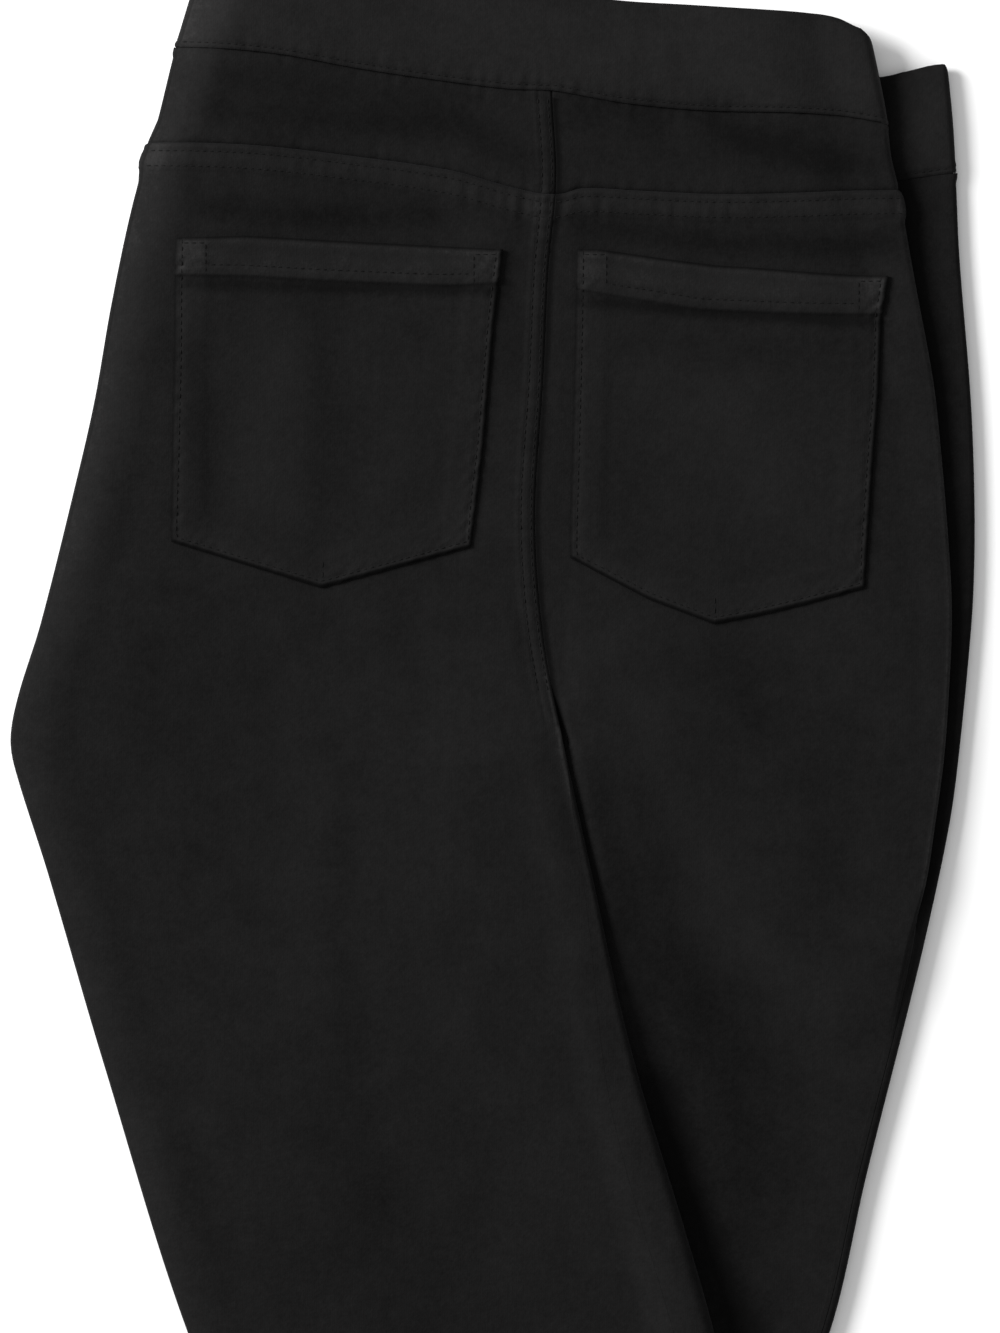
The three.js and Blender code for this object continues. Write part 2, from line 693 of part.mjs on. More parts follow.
// The middle of the cloth, its outer face and its inner face, as grids of points.
function clothGrid(columns, rows, clothAt) {
  const middle = rows.map((row) =>
    columns.map((column) => {
      const down = row(column);
      const rough = column.place(down, CLOTH);
      const cloth = clothAt(rough[0], down);
      const [across, level] = column.place(down, cloth);
      const point = new THREE.Vector3(across - ORIGIN_ACROSS, ORIGIN_DOWN - down, level + cloth / 2);
      return { point, cloth };
    }),
  );
  const normals = middle.map((line, j) =>
    line.map((_, i) => {
      const along = tangent(i, columns.length, (n) => middle[j][n].point);
      const downwards = tangent(j, rows.length, (n) => middle[n][i].point);
      return downwards.cross(along).normalize();
    }),
  );
  const face = (side) =>
    middle.map((line, j) =>
      line.map(({ point, cloth }, i) => point.clone().addScaledVector(normals[j][i], (side * cloth) / 2)),
    );
  return { outer: face(1), inner: face(-1), normals };
}

// A closed wall between two grids of points of the same size, the first facing out. A front's
// columns run the other way from the back's above it, so its faces are split the other way too.
function wallBetween(outer, inner, mirrored = false) {
  const height = outer.length;
  const width = outer[0].length;
  const positions = [...outer.flat(), ...inner.flat()].flatMap((p) => [p.x, p.y, p.z]);
  const faces = [];
  const quad = (a, b, c, d) =>
    mirrored ? faces.push(b, c, d, b, d, a) : faces.push(a, b, c, a, c, d);
  const top = (j, i) => j * width + i;
  const under = (j, i) => height * width + j * width + i;
  for (let j = 0; j < height - 1; j++) {
    for (let i = 0; i < width - 1; i++) {
      quad(top(j, i), top(j + 1, i), top(j + 1, i + 1), top(j, i + 1));
      quad(under(j, i), under(j, i + 1), under(j + 1, i + 1), under(j + 1, i));
    }
    quad(top(j, 0), under(j, 0), under(j + 1, 0), top(j + 1, 0));
    quad(top(j + 1, width - 1), under(j + 1, width - 1), under(j, width - 1), top(j, width - 1));
  }
  for (let i = 0; i < width - 1; i++) {
    quad(top(0, i + 1), under(0, i + 1), under(0, i), top(0, i));
    quad(top(height - 1, i), under(height - 1, i), under(height - 1, i + 1), top(height - 1, i + 1));
  }
  const geometry = new THREE.BufferGeometry();
  geometry.setAttribute("position", new THREE.BufferAttribute(new Float32Array(positions), 3));
  geometry.setIndex(faces);
  geometry.computeVertexNormals();
  return geometry;
}

function toSolid(geometry) {
  const bare = geometry.clone();
  for (const name of Object.keys(bare.attributes)) if (name !== "position") bare.deleteAttribute(name);
  const merged = mergeVertices(bare, 1e-4);
  const vertProperties = new Float32Array(merged.attributes.position.array);
  const triVerts = new Uint32Array(merged.index.array);
  return new wasm.Manifold(new wasm.Mesh({ numProp: 3, vertProperties, triVerts }));
}

function toGeometry(solid) {
  const mesh = solid.getMesh();
  const geometry = new THREE.BufferGeometry();
  geometry.setAttribute("position", new THREE.BufferAttribute(mesh.vertProperties, 3));
  geometry.setIndex(new THREE.BufferAttribute(mesh.triVerts, 1));
  geometry.computeVertexNormals();
  return geometry;
}

// An upright block over an outline, tall enough to cut through every layer.
const BLOCK_BELOW = 5;
const BLOCK_HEIGHT = 40;
function upright(outline) {
  const points = outline.map(
    ({ across, down }) => new THREE.Vector2(across - ORIGIN_ACROSS, ORIGIN_DOWN - down),
  );
  const block = new THREE.ExtrudeGeometry(new THREE.Shape(points), {
    depth: BLOCK_HEIGHT,
    bevelEnabled: false,
  });
  return toSolid(block.translate(0, 0, -BLOCK_BELOW));
}

// A pocket is a sheet parallel to the panel's outer face, cut to the pocket's outline, with a
// second layer where the hem is turned down at its mouth.
function pocketGeometry(panel, columns, { outline, hemEdge, mouthPoints }) {
  const rows = PARTS.aboveHips + PARTS.hips + 1;
  const place = (j, i, distance) =>
    panel.outer[j][i].clone().addScaledVector(panel.normals[j][i], distance);
  const moved = (distance) =>
    panel.outer
      .slice(0, rows)
      .map((line, j) => line.slice(0, columns).map((_, i) => place(j, i, distance)));
  const sheet = (from, to) => toSolid(wallBetween(moved(to), moved(from)));
  const top = LAYER_GAP + POCKET_CLOTH;
  const body = sheet(LAYER_GAP, top).intersect(upright(outline));
  const hemOutline = [...outline.slice(0, mouthPoints), ...hemEdge];
  const hem = sheet(top - POCKET_CLOTH / 2, top + POCKET_HEM_RISE).intersect(upright(hemOutline));
  return toGeometry(body.add(hem));
}

const root = new THREE.Group();
root.name = "leggings";

const KNIT_COLOUR = 0x1d1d1f;
const POCKET_COLOUR = 0x202022;
const BAND_COLOUR = 0x212123;
function addPiece(name, geometry, color) {
  const material = new THREE.MeshStandardMaterial({ color, roughness: 0.9, metalness: 0 });
  const mesh = new THREE.Mesh(geometry, material);
  mesh.name = name;
  root.add(mesh);
}

const bandCloth = () => FOLDED_CLOTH;
const yokeCloth = () => CLOTH;
function addCloth(name, columns, rows, clothAt, color) {
  const grid = clothGrid(columns, rows, clothAt);
  addPiece(name, wallBetween(grid.outer, grid.inner, name.startsWith("front")), color);
  return grid;
}

const bandRows = rowsBetween(PARTS.band, "waist", "band");
const yokeRows = rowsBetween(PARTS.yoke, "band", "yoke");
const backLeft = backLeftColumns();
const backRight = backRightColumns();
const backBand = [...backLeft.slice(0, -1), ...backRight.slice(1)];
const frontBand = [...frontRightColumns(false), ...frontLeftColumns(false)];
addCloth("waistband_back", backBand, bandRows, bandCloth, BAND_COLOUR);
addCloth("waistband_front", frontBand, bandRows, bandCloth, BAND_COLOUR);
addCloth("yoke_left", backLeft, yokeRows, yokeCloth, KNIT_COLOUR);
addCloth("yoke_right", backRight, yokeRows, yokeCloth, KNIT_COLOUR);

function addPanel(name, columns, leg, top) {
  return addCloth(name, columns, panelRows(leg, top), panelCloth(leg), KNIT_COLOUR);
}
const leftBackGrid = addPanel("back_left", backLeft, LEGS.left, "yoke");
const rightBackGrid = addPanel("back_right", backRight, LEGS.right, "yoke");
addPanel("front_left", frontLeftColumns(), LEGS.left, "band");
addPanel("front_right", frontRightColumns(), LEGS.right, "band");

const upperRight = backRight.filter(({ around }) => around <= 2).length;
addPiece("pocket_left", pocketGeometry(leftBackGrid, backLeft.length, POCKETS.left), POCKET_COLOUR);
addPiece("pocket_right", pocketGeometry(rightBackGrid, upperRight, POCKETS.right), POCKET_COLOUR);

export default root;
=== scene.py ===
# %% [markdown]
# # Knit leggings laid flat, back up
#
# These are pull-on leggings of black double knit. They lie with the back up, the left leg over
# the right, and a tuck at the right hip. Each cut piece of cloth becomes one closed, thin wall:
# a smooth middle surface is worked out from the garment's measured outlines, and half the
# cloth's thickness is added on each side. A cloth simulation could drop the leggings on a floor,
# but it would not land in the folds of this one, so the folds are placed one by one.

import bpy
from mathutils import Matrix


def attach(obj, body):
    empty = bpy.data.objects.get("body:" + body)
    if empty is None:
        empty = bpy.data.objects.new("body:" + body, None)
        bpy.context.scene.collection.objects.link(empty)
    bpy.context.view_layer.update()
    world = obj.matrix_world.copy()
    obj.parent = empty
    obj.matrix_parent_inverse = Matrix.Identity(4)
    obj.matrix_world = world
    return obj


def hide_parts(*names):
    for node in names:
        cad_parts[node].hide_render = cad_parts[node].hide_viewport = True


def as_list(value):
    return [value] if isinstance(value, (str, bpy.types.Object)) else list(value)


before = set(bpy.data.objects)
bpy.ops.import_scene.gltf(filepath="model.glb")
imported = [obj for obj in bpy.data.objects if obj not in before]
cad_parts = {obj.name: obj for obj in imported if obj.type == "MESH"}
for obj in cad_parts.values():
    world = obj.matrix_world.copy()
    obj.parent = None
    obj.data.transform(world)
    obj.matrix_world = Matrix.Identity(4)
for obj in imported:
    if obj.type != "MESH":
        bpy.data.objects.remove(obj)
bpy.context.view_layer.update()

import math

import bpy
import numpy as np
from mathutils import Vector
from mathutils.bvhtree import BVHTree

MM = 0.001
print("nodes in the frame:", len(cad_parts))

# %% [markdown]
# ## How the tables are measured
#
# Heights are millimetres down from the top of the waistband at the centre back, and across is
# millimetres to the right of the middle of the hips. A garment pattern is drawn the same way:
# a few measured points and a smooth curve through them. The curve here is a Hermite spline,
# because it passes through every point and never swings far between two of them.

# %% Curves through tables
ORIGIN_ACROSS = -3.18
ORIGIN_DOWN = 480.66


def clamp(value):
    return np.clip(value, 0.0, 1.0)


def mix(start, end, share):
    return start + (end - start) * share


def ease(value):
    value = clamp(value)
    return value * value * (3 - 2 * value)


def fall(value):
    return 1 - ease(value)


def bell(distance, width):
    """1 at distance 0, and about a third at the width."""
    return np.exp(-((distance / width) ** 2))


def read(table, at, column=1):
    """The table's column at any value of its first column, on a smooth curve."""
    rows = np.asarray(table, float)
    key, value = rows[:, 0], rows[:, column]
    last = len(rows) - 1
    before = np.maximum(np.arange(last + 1) - 1, 0)
    after = np.minimum(np.arange(last + 1) + 1, last)
    slope = (value[after] - value[before]) / (key[after] - key[before])
    at = np.asarray(at, float)
    i = np.clip(np.searchsorted(key, at) - 1, 0, last - 1)
    step = key[i + 1] - key[i]
    s = (at - key[i]) / step
    first, second, rise = slope[i] * step, slope[i + 1] * step, value[i + 1] - value[i]
    inside = clamp(s)
    curve = value[i] + first * inside
    curve = curve + (3 * rise - 2 * first - second) * inside**2
    curve = curve + (first + second - 2 * rise) * inside**3
    beyond = np.minimum(s, 0) * first + np.maximum(s - 1, 0) * second
    return curve + beyond


# %% [markdown]
# ## The cloth and the folded edges
#
# One layer of this knit is about 1.2 mm. The waistband holds elastic between two layers and the
# hems are turned up, so both are thicker. Every edge of the flat tube is a fold with a real
# radius, which is why the left side catches a band of light along its whole length.

# %% Sizes of the cloth
# all in millimetres
CLOTH = 1.2
FOLDED_CLOTH = 2.0
HEM_HEIGHT = 25
HEM_STEP = 1.5

# gaps at seams and between layers
SEAM_GAP = 0.1
BAND_SEAM_GAP = 0.1
INSEAM_GAP = 0.06
CREST_GAP = 0.12
LAYER_GAP = 0.3
BAND_SPACING_END = 78
BAND_SPACING_FADE = 45
HEM_SPACING_START = 48
HEM_SPACING_FADE = 20

# how far in from a folded edge the upper layer comes down again, and fine strips beside seams
FOLD_SPREAD = 26
OUTER_SPREAD = 42
SEAM_ZONE = 2.4
HIP_ROWS_START = 104
# beside a side seam the cloth starts and ends at these shares of a turn or a hidden layer
TURN_START = 0.08
UNDER_END = 0.95

# the tuck at the right hip, and the step that it leaves below its end
TUCK_CLIMB = 75
TUCK_SLACK = 0.15
TUCK_FADE_START = 365
TUCK_END = 404
RUN_END = 30
HIDDEN_FOLD = 1
CREST = 4.8
CREST_BELOW = 3.5
CREST_CHANGE_START = 10
CREST_CHANGE = 50
STEP_FADE = 48
STEP_RISE = 80
STEP_CLEAR = 6

# how the left leg climbs over the right one
CROTCH = 316.6
LEG_LIFT = 4.6
LIFT_AT_CROTCH = 3.9
LIFT_GROWS_FROM = 340
LIFT_GROWTH = 100
LIFT_CLEAR = 8
LIFT_RAMP = 105
LIFT_START = 272
LIFT_FULL = 322

# how far beside the back's centre seam the front's one lies, and where that ends
FRONT_SEAM_ASIDE = 3
FRONT_SEAM_END = 14
FRONT_SEAM_FADE = 12

# how the right back follows it
DRAWN_UP = 0.8
FOLLOW_REACH = 50
FOLLOW_END = 285
FOLLOW_FADE = 30
SWELL = 2.7
SWELL_GAP = 0.3
SWELL_RISE = 5
SWELL_FLAT = 14
SWELL_FALL = 60
SWELL_GROWTH = 31
SWELL_END = 345
SWELL_FADE = 90

# air in the left folded edge, and where the soft folds begin and end
PILLOW = 4.2
PILLOW_RISE = 26
PILLOW_FALL = 95
PILLOW_SHARE = 0.35
NARROWEST = 40
SOFT_START = 20
SOFT_END = 15
SEAM_SOFT_END = 235
SEAM_SOFT_FADE = 70
COVER_CLEAR = 6
COVER_FADE = 20
HIP_SOFT_FADE = 25
UNDER_LEG_SOFT = 0.6
UNDER_LEG_START = 60
UNDER_LEG_FADE = 140
EDGE_SOFT_END = 42

LEFT_LEG = {"lean": 0.34, "hem_down": 955, "hem_across": 111.5}
RIGHT_LEG = {"lean": -0.3, "hem_down": 962, "hem_across": -88.8}

# %% Outlines seen from above: down, across
LEFT_EDGE = [
    (-22.1, -124.5), (0, -131.3), (20.4, -137.7), (54.4, -146.2), (85.4, -155.6),
    (128.8, -164.9), (170, -172.1), (204, -179.8), (265.2, -195.1), (295, -204.4),
    (312.4, -207.8), (325, -206.4), (370.6, -192.1), (450.5, -168.7), (566.5, -132.2),
    (650, -94.6), (740, -56.7), (850, -11.3), (990, 44.2),
]
LEFT_LEG_INNER_EDGE = [
    (316.6, 27), (346, 33.4), (376, 40), (425, 50.5), (463, 60.3), (521, 78), (566.5, 91),
    (650, 110.2), (740, 133.5), (850, 162.9), (990, 202.6),
]
RIGHT_LEG_INNER_EDGE = [
    (316.6, 27), (340, 7.5), (382.5, -19.1), (425, -38.3), (467.5, -54.4), (510, -66.7),
    (566.5, -80), (650, -96.4), (740, -116.2), (850, -141.3), (990, -175.5),
]
RIGHT_EDGE = [
    (0, 189), (27.6, 190), (72.3, 193.4), (108.8, 195.1), (167.5, 199.8), (205, 201.4),
    (238, 201.5), (266, 200.2), (322.6, 194.7), (350.6, 190.8), (393.1, 181.9),
    (432.7, 172.4), (498.5, 155.8), (566.5, 139.8), (650, 106.2), (740, 71.8),
    (850, 30.9), (990, -18.9),
]
ROLLED_EDGE = [
    (0, 154.5), (19.1, 157.7), (35.3, 160.7), (51.4, 164), (67.6, 166), (84.2, 170),
    (97.8, 172.1), (122, 176.4), (161, 183.6), (187, 186.6), (232.5, 190.4),
    (261.8, 191.7), (294.5, 190.4), (322.6, 188.3), (350.6, 184.5), (379, 180.2),
    (404, 174.7),
]
CENTRE_SEAM = [
    (-5, 22), (40.4, 22.1), (76.5, 23.8), (115.6, 20.4), (161, 18.3), (213, 14.9),
    (245.7, 15.8), (280.5, 19.8), (316.6, 27),
]

# %% Folds, tuck and rolled inseam
# down, then the radius at the left outer, left inner, right inner, right outer and rolled edge
FOLDS = [
    (-22, 2.2, 1, 1, 1.6, 2.9), (100, 2.4, 1, 1, 1.6, 2.1), (230, 2.6, 1, 1, 1.6, 1.3),
    (316.6, 2.6, 1, 1, 1.7, 1), (404, 2.6, 1.8, 1, 2.1, 0.95), (482, 2.5, 3.4, 1, 2.1, 1),
    (566, 2.4, 4.6, 1, 2, 1), (650, 2.2, 4, 1, 1, 1), (760, 2, 2.8, 1.8, 1, 1.1),
    (900, 1.9, 2, 1.8, 1, 1.1), (990, 1.8, 1.8, 1.8, 1.4, 1.1),
]
# down, depth of the tuck behind the rolled edge
TUCK_DEPTH = [(0, 24), (120, 22), (230, 18), (300, 13), (365, 8), (404, 6)]
# down, how far the left inseam has rolled onto the upper side
INSEAM_ROLL = [(316.6, 0), (400, 7), (482, 17.5), (566, 19), (650, 15), (800, 8), (990, 4)]
# around the waist, then down at the band's top edge, its seam and the yoke seam
SEAM_LINES = [
    (-0.1, -22.1, 20.4, 60.8), (0, -22.1, 20.4, 60.8), (0.25, -17, 23.4, 62.1),
    (0.5, -11.5, 30, 66.5), (0.75, -6.8, 35.5, 72.5), (0.9, -4.7, 38.3, 79.5),
    (1, -3.4, 39, 82.7), (1.08, -1.7, 40.8, 80.2), (1.25, 0.9, 44.6, 81.2),
    (1.5, 2.8, 47.6, 82.7), (1.75, 5, 48.5, 82.2), (1.9, 6.7, 49.7, 81.4),
    (1.95, 8.6, 51, 81.3), (2, 13, 52.6, 81.2), (2.1, 16.6, 54, 81.6), (2.2, 19.5, 55.4, 82),
    (2.4, 28.5, 71, 84), (2.5, 30.5, 72.4, 84), (2.64, 33, 77, 84), (2.71, 30.7, 75.8, 84),
    (2.8, 27.6, 74, 84), (3, 29.4, 73.5, 84), (3.1, 31.8, 72, 84), (3.2, 33.2, 70.6, 84),
    (3.4, 30, 67.6, 84), (4, 16, 59, 84),
    (5, -20, 21, 84), (5.1, -22.1, 20.4, 84),
]
WAIST, BAND, YOKE = 1, 2, 3

# %% [markdown]
# ## Soft folds in the cloth
#
# Real cloth never lies dead flat. Air under it lifts it a millimetre or two, and long shallow
# troughs run where it was pulled straight. Each trough below has its own start, end, width and
# depth, all different, and fades out at both ends. They are part of the surface itself, not a
# bump map, so that pockets and stitches lie in them and they show from a low angle too.

# %% Troughs placed one by one
PUFF = 1.6
WAIST_RISE = 2.6
WAIST_RISE_START = 12
WAIST_RISE_FADE = 95
# troughs bend one way where across and down add up to less than this, and the other way past it
BENDS_CHANGE = 300
TROUGH_SAG = 0.12
END_FADE = 1.6
# across and down of the start, across and down of the end, width, depth
TROUGHS = [
    (-72, 328, -64, 442, 15, 1.5), (-64, 442, -46, 500, 18, 0.9), (-132, 505, -124, 560, 14, 1.2),
    (-68, 138, -72, 226, 12, 1.1), (-124, 160, -122, 226, 10, 0.9), (-24, 175, -30, 262, 17, 0.5),
    (-150, 262, -118, 300, 22, 0.7), (-18, 258, -60, 282, 16, 0.5), (-100, 280, -88, 318, 13, 0.6),
    (-150, 350, -136, 408, 16, 0.6), (-14, 395, -22, 470, 15, 0.6), (-2, 500, 6, 560, 14, 0.6),
    (-88, 560, -60, 660, 24, 1.2), (20, 600, 62, 720, 21, 1.1), (0, 720, 60, 800, 24, 1.2),
    (64, 800, 84, 905, 19, 0.9), (118, 850, 142, 930, 16, 0.8),
    (52, 160, 50, 232, 15, 0.8), (96, 150, 108, 236, 22, 0.9), (140, 140, 134, 210, 13, 0.7),
    (60, 300, 84, 352, 15, 1.2), (84, 352, 108, 430, 17, 1.3), (140, 262, 152, 345, 16, 0.8),
    (118, 268, 104, 300, 18, 0.6), (122, 430, 112, 500, 12, 1.0), (146, 380, 134, 452, 12, 0.7),
    (118, 62, 150, 72, 12, 1.5), (70, 54, 104, 60, 10, 0.6), (-96, 42, -52, 50, 12, 0.8),
    (-20, 58, 6, 66, 8, 0.7), (-64, 92, -22, 99, 7, 0.6), (104, 99, 142, 103, 8, 0.7),
    (-112, 700, -84, 800, 18, 1.1), (-142, 830, -118, 915, 15, 0.9), (-96, 880, -70, 940, 13, 0.8),
]
print("troughs:", len(TROUGHS))


def streak(across, down, x0, y0, x1, y1, width, sag):
    """1 along a slightly bent line from start to end, fading out beside it and past its ends."""
    length = math.hypot(x1 - x0, y1 - y0)
    ux, uy = (x1 - x0) / length, (y1 - y0) / length
    along = (across - x0) * ux + (down - y0) * uy
    bend = sag * length * np.sin(math.pi * clamp(along / length))
    aside = (across - x0) * -uy + (down - y0) * ux - bend
    past = np.maximum(0, np.maximum(-along, along - length))
    return np.exp(-((aside / width) ** 2) - (past / (END_FADE * width)) ** 2)


def softness(across, down):
    """Height of the cloth above where it would lie if it were pressed flat."""
    total = 0
    for x0, y0, x1, y1, width, depth in TROUGHS:
        sag = math.copysign(TROUGH_SAG, x0 + y1 - BENDS_CHANGE)
        total = total + depth * streak(across, down, x0, y0, x1, y1, width, sag)
    waist = WAIST_RISE * fall((down - WAIST_RISE_START) / WAIST_RISE_FADE)
    return PUFF * np.exp(-total / PUFF) + waist


# %% [markdown]
# ## Painted light and shade
#
# The surface of a black knit is a short nap, but the lighter and darker places here are light
# and shade painted into its colour: folds and edges that face the light get painted light, and
# creases, the sides of seams and cloth beside raised cloth get painted shade and painted shadow.
# That is a change of colour more than of shape, so each place is a soft stroke, like one of a
# brush, and its amount is kept in the mesh as a value for each point, which the material reads.

# %% Where the painted light and painted shade lie
TONE_SAG = 0.03
NARROW_TONE = 3
# across and down of the start, across and down of the end, width, how much painted light (above 0) or
# painted shade (below 0)
TONES = [
    (-120, 46, -30, 52, 7, -1.1), (-132, 30, -20, 40, 6, -0.6), (-18, 52, 6, 66, 8, -1),
    (34, 46, 84, 46, 8, -0.9), (100, 58, 140, 68, 9, -2), (60, 62, 90, 66, 8, -0.5),
    (-124, 88, -30, 92, 6, -1.3), (38, 96, 160, 104, 6, -1.5), (6, 100, 4, 150, 6, -1),
    (15.6, 86, 15.9, 94, 3.4, 1.4), (-134, 121.5, 0, 124, 2.6, -1.4),
    (36, 129, 160, 138, 2.8, -1.6),
    (-130, 109, -2, 112, 4.5, 0.9), (40, 115, 156, 124, 4.5, 0.9),
    (-96, 160, -96, 205, 15, 1.3), (-18, 222, -17, 230, 8, 0.9), (-128, 150, -127, 200, 7, -0.8),
    (-76, 150, -77, 215, 5, -0.45), (80, 165, 100, 190, 26, 0.9), (62, 143, 148, 148, 9, -0.7),
    (44, 272, 124, 425, 14, 0.9), (42, 350, 78, 430, 14, -1.3), (100, 440, 108, 500, 16, -1),
    (136, 320, 142, 360, 16, -0.5), (104, 284, 108, 306, 12, -0.8),
    (-66, 338, -64, 440, 9, -0.75), (-86, 306, -84, 445, 11, 0.5), (14, 285, 32, 395, 9, 0.7),
    (-128, 500, -124, 540, 12, -0.7), (-150, 262, -140, 300, 16, -0.3), (20, 480, 60, 560, 14, 0.4),
    (70, 468, 106, 570, 11, -2.4), (-60, 470, -40, 540, 18, -0.4), (-20, 300, -26, 420, 15, 0.4),
]


def tone(across, down):
    """The painted light and shade of the strokes at a place. Only the narrow ones are straight."""
    total = 0
    for x0, y0, x1, y1, width, amount in TONES:
        sag = TONE_SAG * (width > NARROW_TONE)
        total = total + amount * streak(across, down, x0, y0, x1, y1, width, sag)
    return total


# %% Painted highlight along the folded edges, and painted shade beside the centre seam
# the painted highlight on the folded rims: how light, how far in and how wide on the roll, then on the
# left leg's edge
RIM_LIGHT = 3.0
ROLL_RIM = 0.9
ROLL_RIM_WIDTH = 1.3
LEG_RIM = 1
LEG_RIM_WIDTH = 2.2
RIM_START = 250
RIM_GROWTH = 70
# painted light on the left side, which lies open to the light
SIDE_LIGHT = 2.2
SIDE_WIDTH = 12
SIDE_LEAST = 0.35
SIDE_FADE_START = 215
SIDE_FADE = 90
# painted shade in the valley beside the centre seam, and painted shadow on the layer under the rolled
# edge
SEAM_DARK = 6
SEAM_DARK_WIDTH = 1.9
SEAM_DARK_START = 42
SEAM_DARK_FADE = 12
ROLL_DARK = 2.6
ROLL_DARK_WIDTH = 9
ROLL_DARK_FADE = 40


def rim_tone(around, across, down):
    """Painted highlight on the folded rims, painted light on the left side, and painted shade in the
    valley of the centre seam.
    """
    below = read(RIGHT_EDGE, down) - CREST_BELOW
    right = mix(read(ROLLED_EDGE, np.minimum(down, TUCK_END)), below, down > TUCK_END) - across
    below_crotch = read(LEFT_LEG_INNER_EDGE, np.maximum(down, CROTCH))
    seam = read(CENTRE_SEAM, np.minimum(down, CROTCH))
    left = mix(seam, below_crotch, down > CROTCH) - across
    valley = SEAM_DARK * bell(across - seam, SEAM_DARK_WIDTH)
    valley = valley * fall((down - CROTCH + SEAM_DARK_FADE) / SEAM_DARK_FADE)
    valley = valley * ((around > 1) & (down > SEAM_DARK_START))
    left = bell(left - LEG_RIM, LEG_RIM_WIDTH) * ease((down - RIM_START) / RIM_GROWTH)
    left = left * (around <= 1)
    rims = RIM_LIGHT * np.where(around > 1, bell(right - ROLL_RIM, ROLL_RIM_WIDTH), left)
    # painted light on the left side, which faces the light
    from_side = np.maximum(across - read(LEFT_EDGE, down), 0)
    lower = mix(SIDE_LEAST, 1, fall((down - SIDE_FADE_START) / SIDE_FADE))
    painted_light_shade = SIDE_LIGHT * bell(from_side, SIDE_WIDTH) * lower
    return rims + painted_light_shade - valley


def beside_roll(across, down):
    """Painted shadow: the layer under the rolled edge is painted darkest close beside it."""
    aside = across - read(ROLLED_EDGE, np.minimum(down, TUCK_END))
    fade = fall((down - TUCK_FADE_START) / ROLL_DARK_FADE)
    return ROLL_DARK * bell(aside, ROLL_DARK_WIDTH) * fade


# each stroke is painted light (above 0) or painted shade (below 0)
print("strokes of lighter or darker nap:", len(TONES))

# %% [markdown]
# ## Side seams that stand proud
#
# Where a thick cross seam meets the folded side, the edge bulges by a millimetre or so. The
# outline gets a small bump there instead of a separate lump of cloth.

# %% Bulges on the outline
BULGE_EDGE = 1.6
# down at the middle, length, how far out
BULGES = {
    "left_outer": [(21, 5, 0.8), (66, 15, 1.7)],
    "roll": [(53.5, 4, 0.6), (88, 9, 0.9)],
    "right_outer": [(73, 6, 0.8)],
    "left_inner": [],
    "right_inner": [],
}


def bulge(name, down):
    out = np.zeros(np.shape(down))
    for middle, length, proud in BULGES[name]:
        out = out + proud * np.exp(-(((down - middle) / (length / BULGE_EDGE)) ** 4))
    return out


# %% [markdown]
# ## The surface of each layer
#
# The functions below say where the middle of the cloth lies, across and above the floor, at any
# height on the garment. The left leg climbs over the right one, and the tuck at the right hip
# stacks four layers. A sculpted mesh could look the same from above, but only a worked-out
# surface keeps the layers truly apart, which is what makes the dark gaps between them.

# %% Spacing of two layers, and the folded edges
def above_hem(leg, across, down):
    line = leg["hem_down"] - leg["lean"] * (across - leg["hem_across"])
    return (line - down) / math.hypot(1, leg["lean"])


def spacing(leg, across, down):
    near_band = fall((down - BAND_SPACING_END) / BAND_SPACING_FADE)
    near_hem = ease((HEM_SPACING_START - above_hem(leg, across, down)) / HEM_SPACING_FADE)
    return CLOTH + LAYER_GAP + (FOLDED_CLOTH - CLOTH) * np.maximum(near_band, near_hem)


FOLDED_EDGES = {
    "left_outer": (LEFT_EDGE, 1, LEFT_LEG, 1),
    "left_inner": (LEFT_LEG_INNER_EDGE, -1, LEFT_LEG, 2),
    "right_inner": (RIGHT_LEG_INNER_EDGE, 1, RIGHT_LEG, 3),
    "right_outer": (RIGHT_EDGE, -1, RIGHT_LEG, 4),
    "roll": (ROLLED_EDGE, -1, RIGHT_LEG, 5),
}


def fold(name, down, cloth):
    """Radius of a folded edge, and the middle of its turn across the garment."""
    table, inwards, leg, column = FOLDED_EDGES[name]
    outline = read(table, down) - inwards * bulge(name, down)
    radius = np.maximum(spacing(leg, outline, down) / 2, read(FOLDS, down, column))
    return radius, outline + inwards * (cloth / 2 + radius)


# %% The left side, which climbs over the right leg
def lift(across, down):
    """How high the left leg is carried by the right one under it."""
    below = np.maximum(down, CROTCH)
    seam, inner = read(CENTRE_SEAM, down), read(RIGHT_LEG_INNER_EDGE, below)
    start = np.where(down < CROTCH, seam, inner)
    up = ease((across - start + LIFT_CLEAR + LIFT_RAMP) / LIFT_RAMP)
    off = fall((across - read(RIGHT_EDGE, below) - LIFT_CLEAR) / LIFT_RAMP)
    height = mix(LIFT_AT_CROTCH, LEG_LIFT, ease((down - LIFT_GROWS_FROM) / LIFT_GROWTH))
    return height * up * off * ease((down - LIFT_START) / (LIFT_FULL - LIFT_START))


def follow(across, down):
    """The right back is drawn up with the left leg above the crotch and swells beside it below."""
    seam = read(CENTRE_SEAM, down)
    near = fall((across - seam) / FOLLOW_REACH) * fall((down - FOLLOW_END) / FOLLOW_FADE)
    drawn_up = np.where(down < CROTCH, DRAWN_UP * lift(seam, down) * near, 0)
    beside = across - np.where(down < CROTCH, seam, read(LEFT_LEG_INNER_EDGE, down))
    swollen = ease((beside - SWELL_GAP) / SWELL_RISE) * fall((beside - SWELL_FLAT) / SWELL_FALL)
    swollen = swollen * ease((down - FOLLOW_END) / SWELL_GROWTH)
    swollen = swollen * fall((down - SWELL_END) / SWELL_FADE)
    return drawn_up + SWELL * swollen


def pillow(inwards):
    """Air in the folded edge lifts the cloth just inside it, and it settles further in."""
    rise = 1 - (1 - clamp(inwards / PILLOW_RISE)) ** 2
    return PILLOW * rise * fall((inwards - PILLOW_RISE) / PILLOW_FALL)


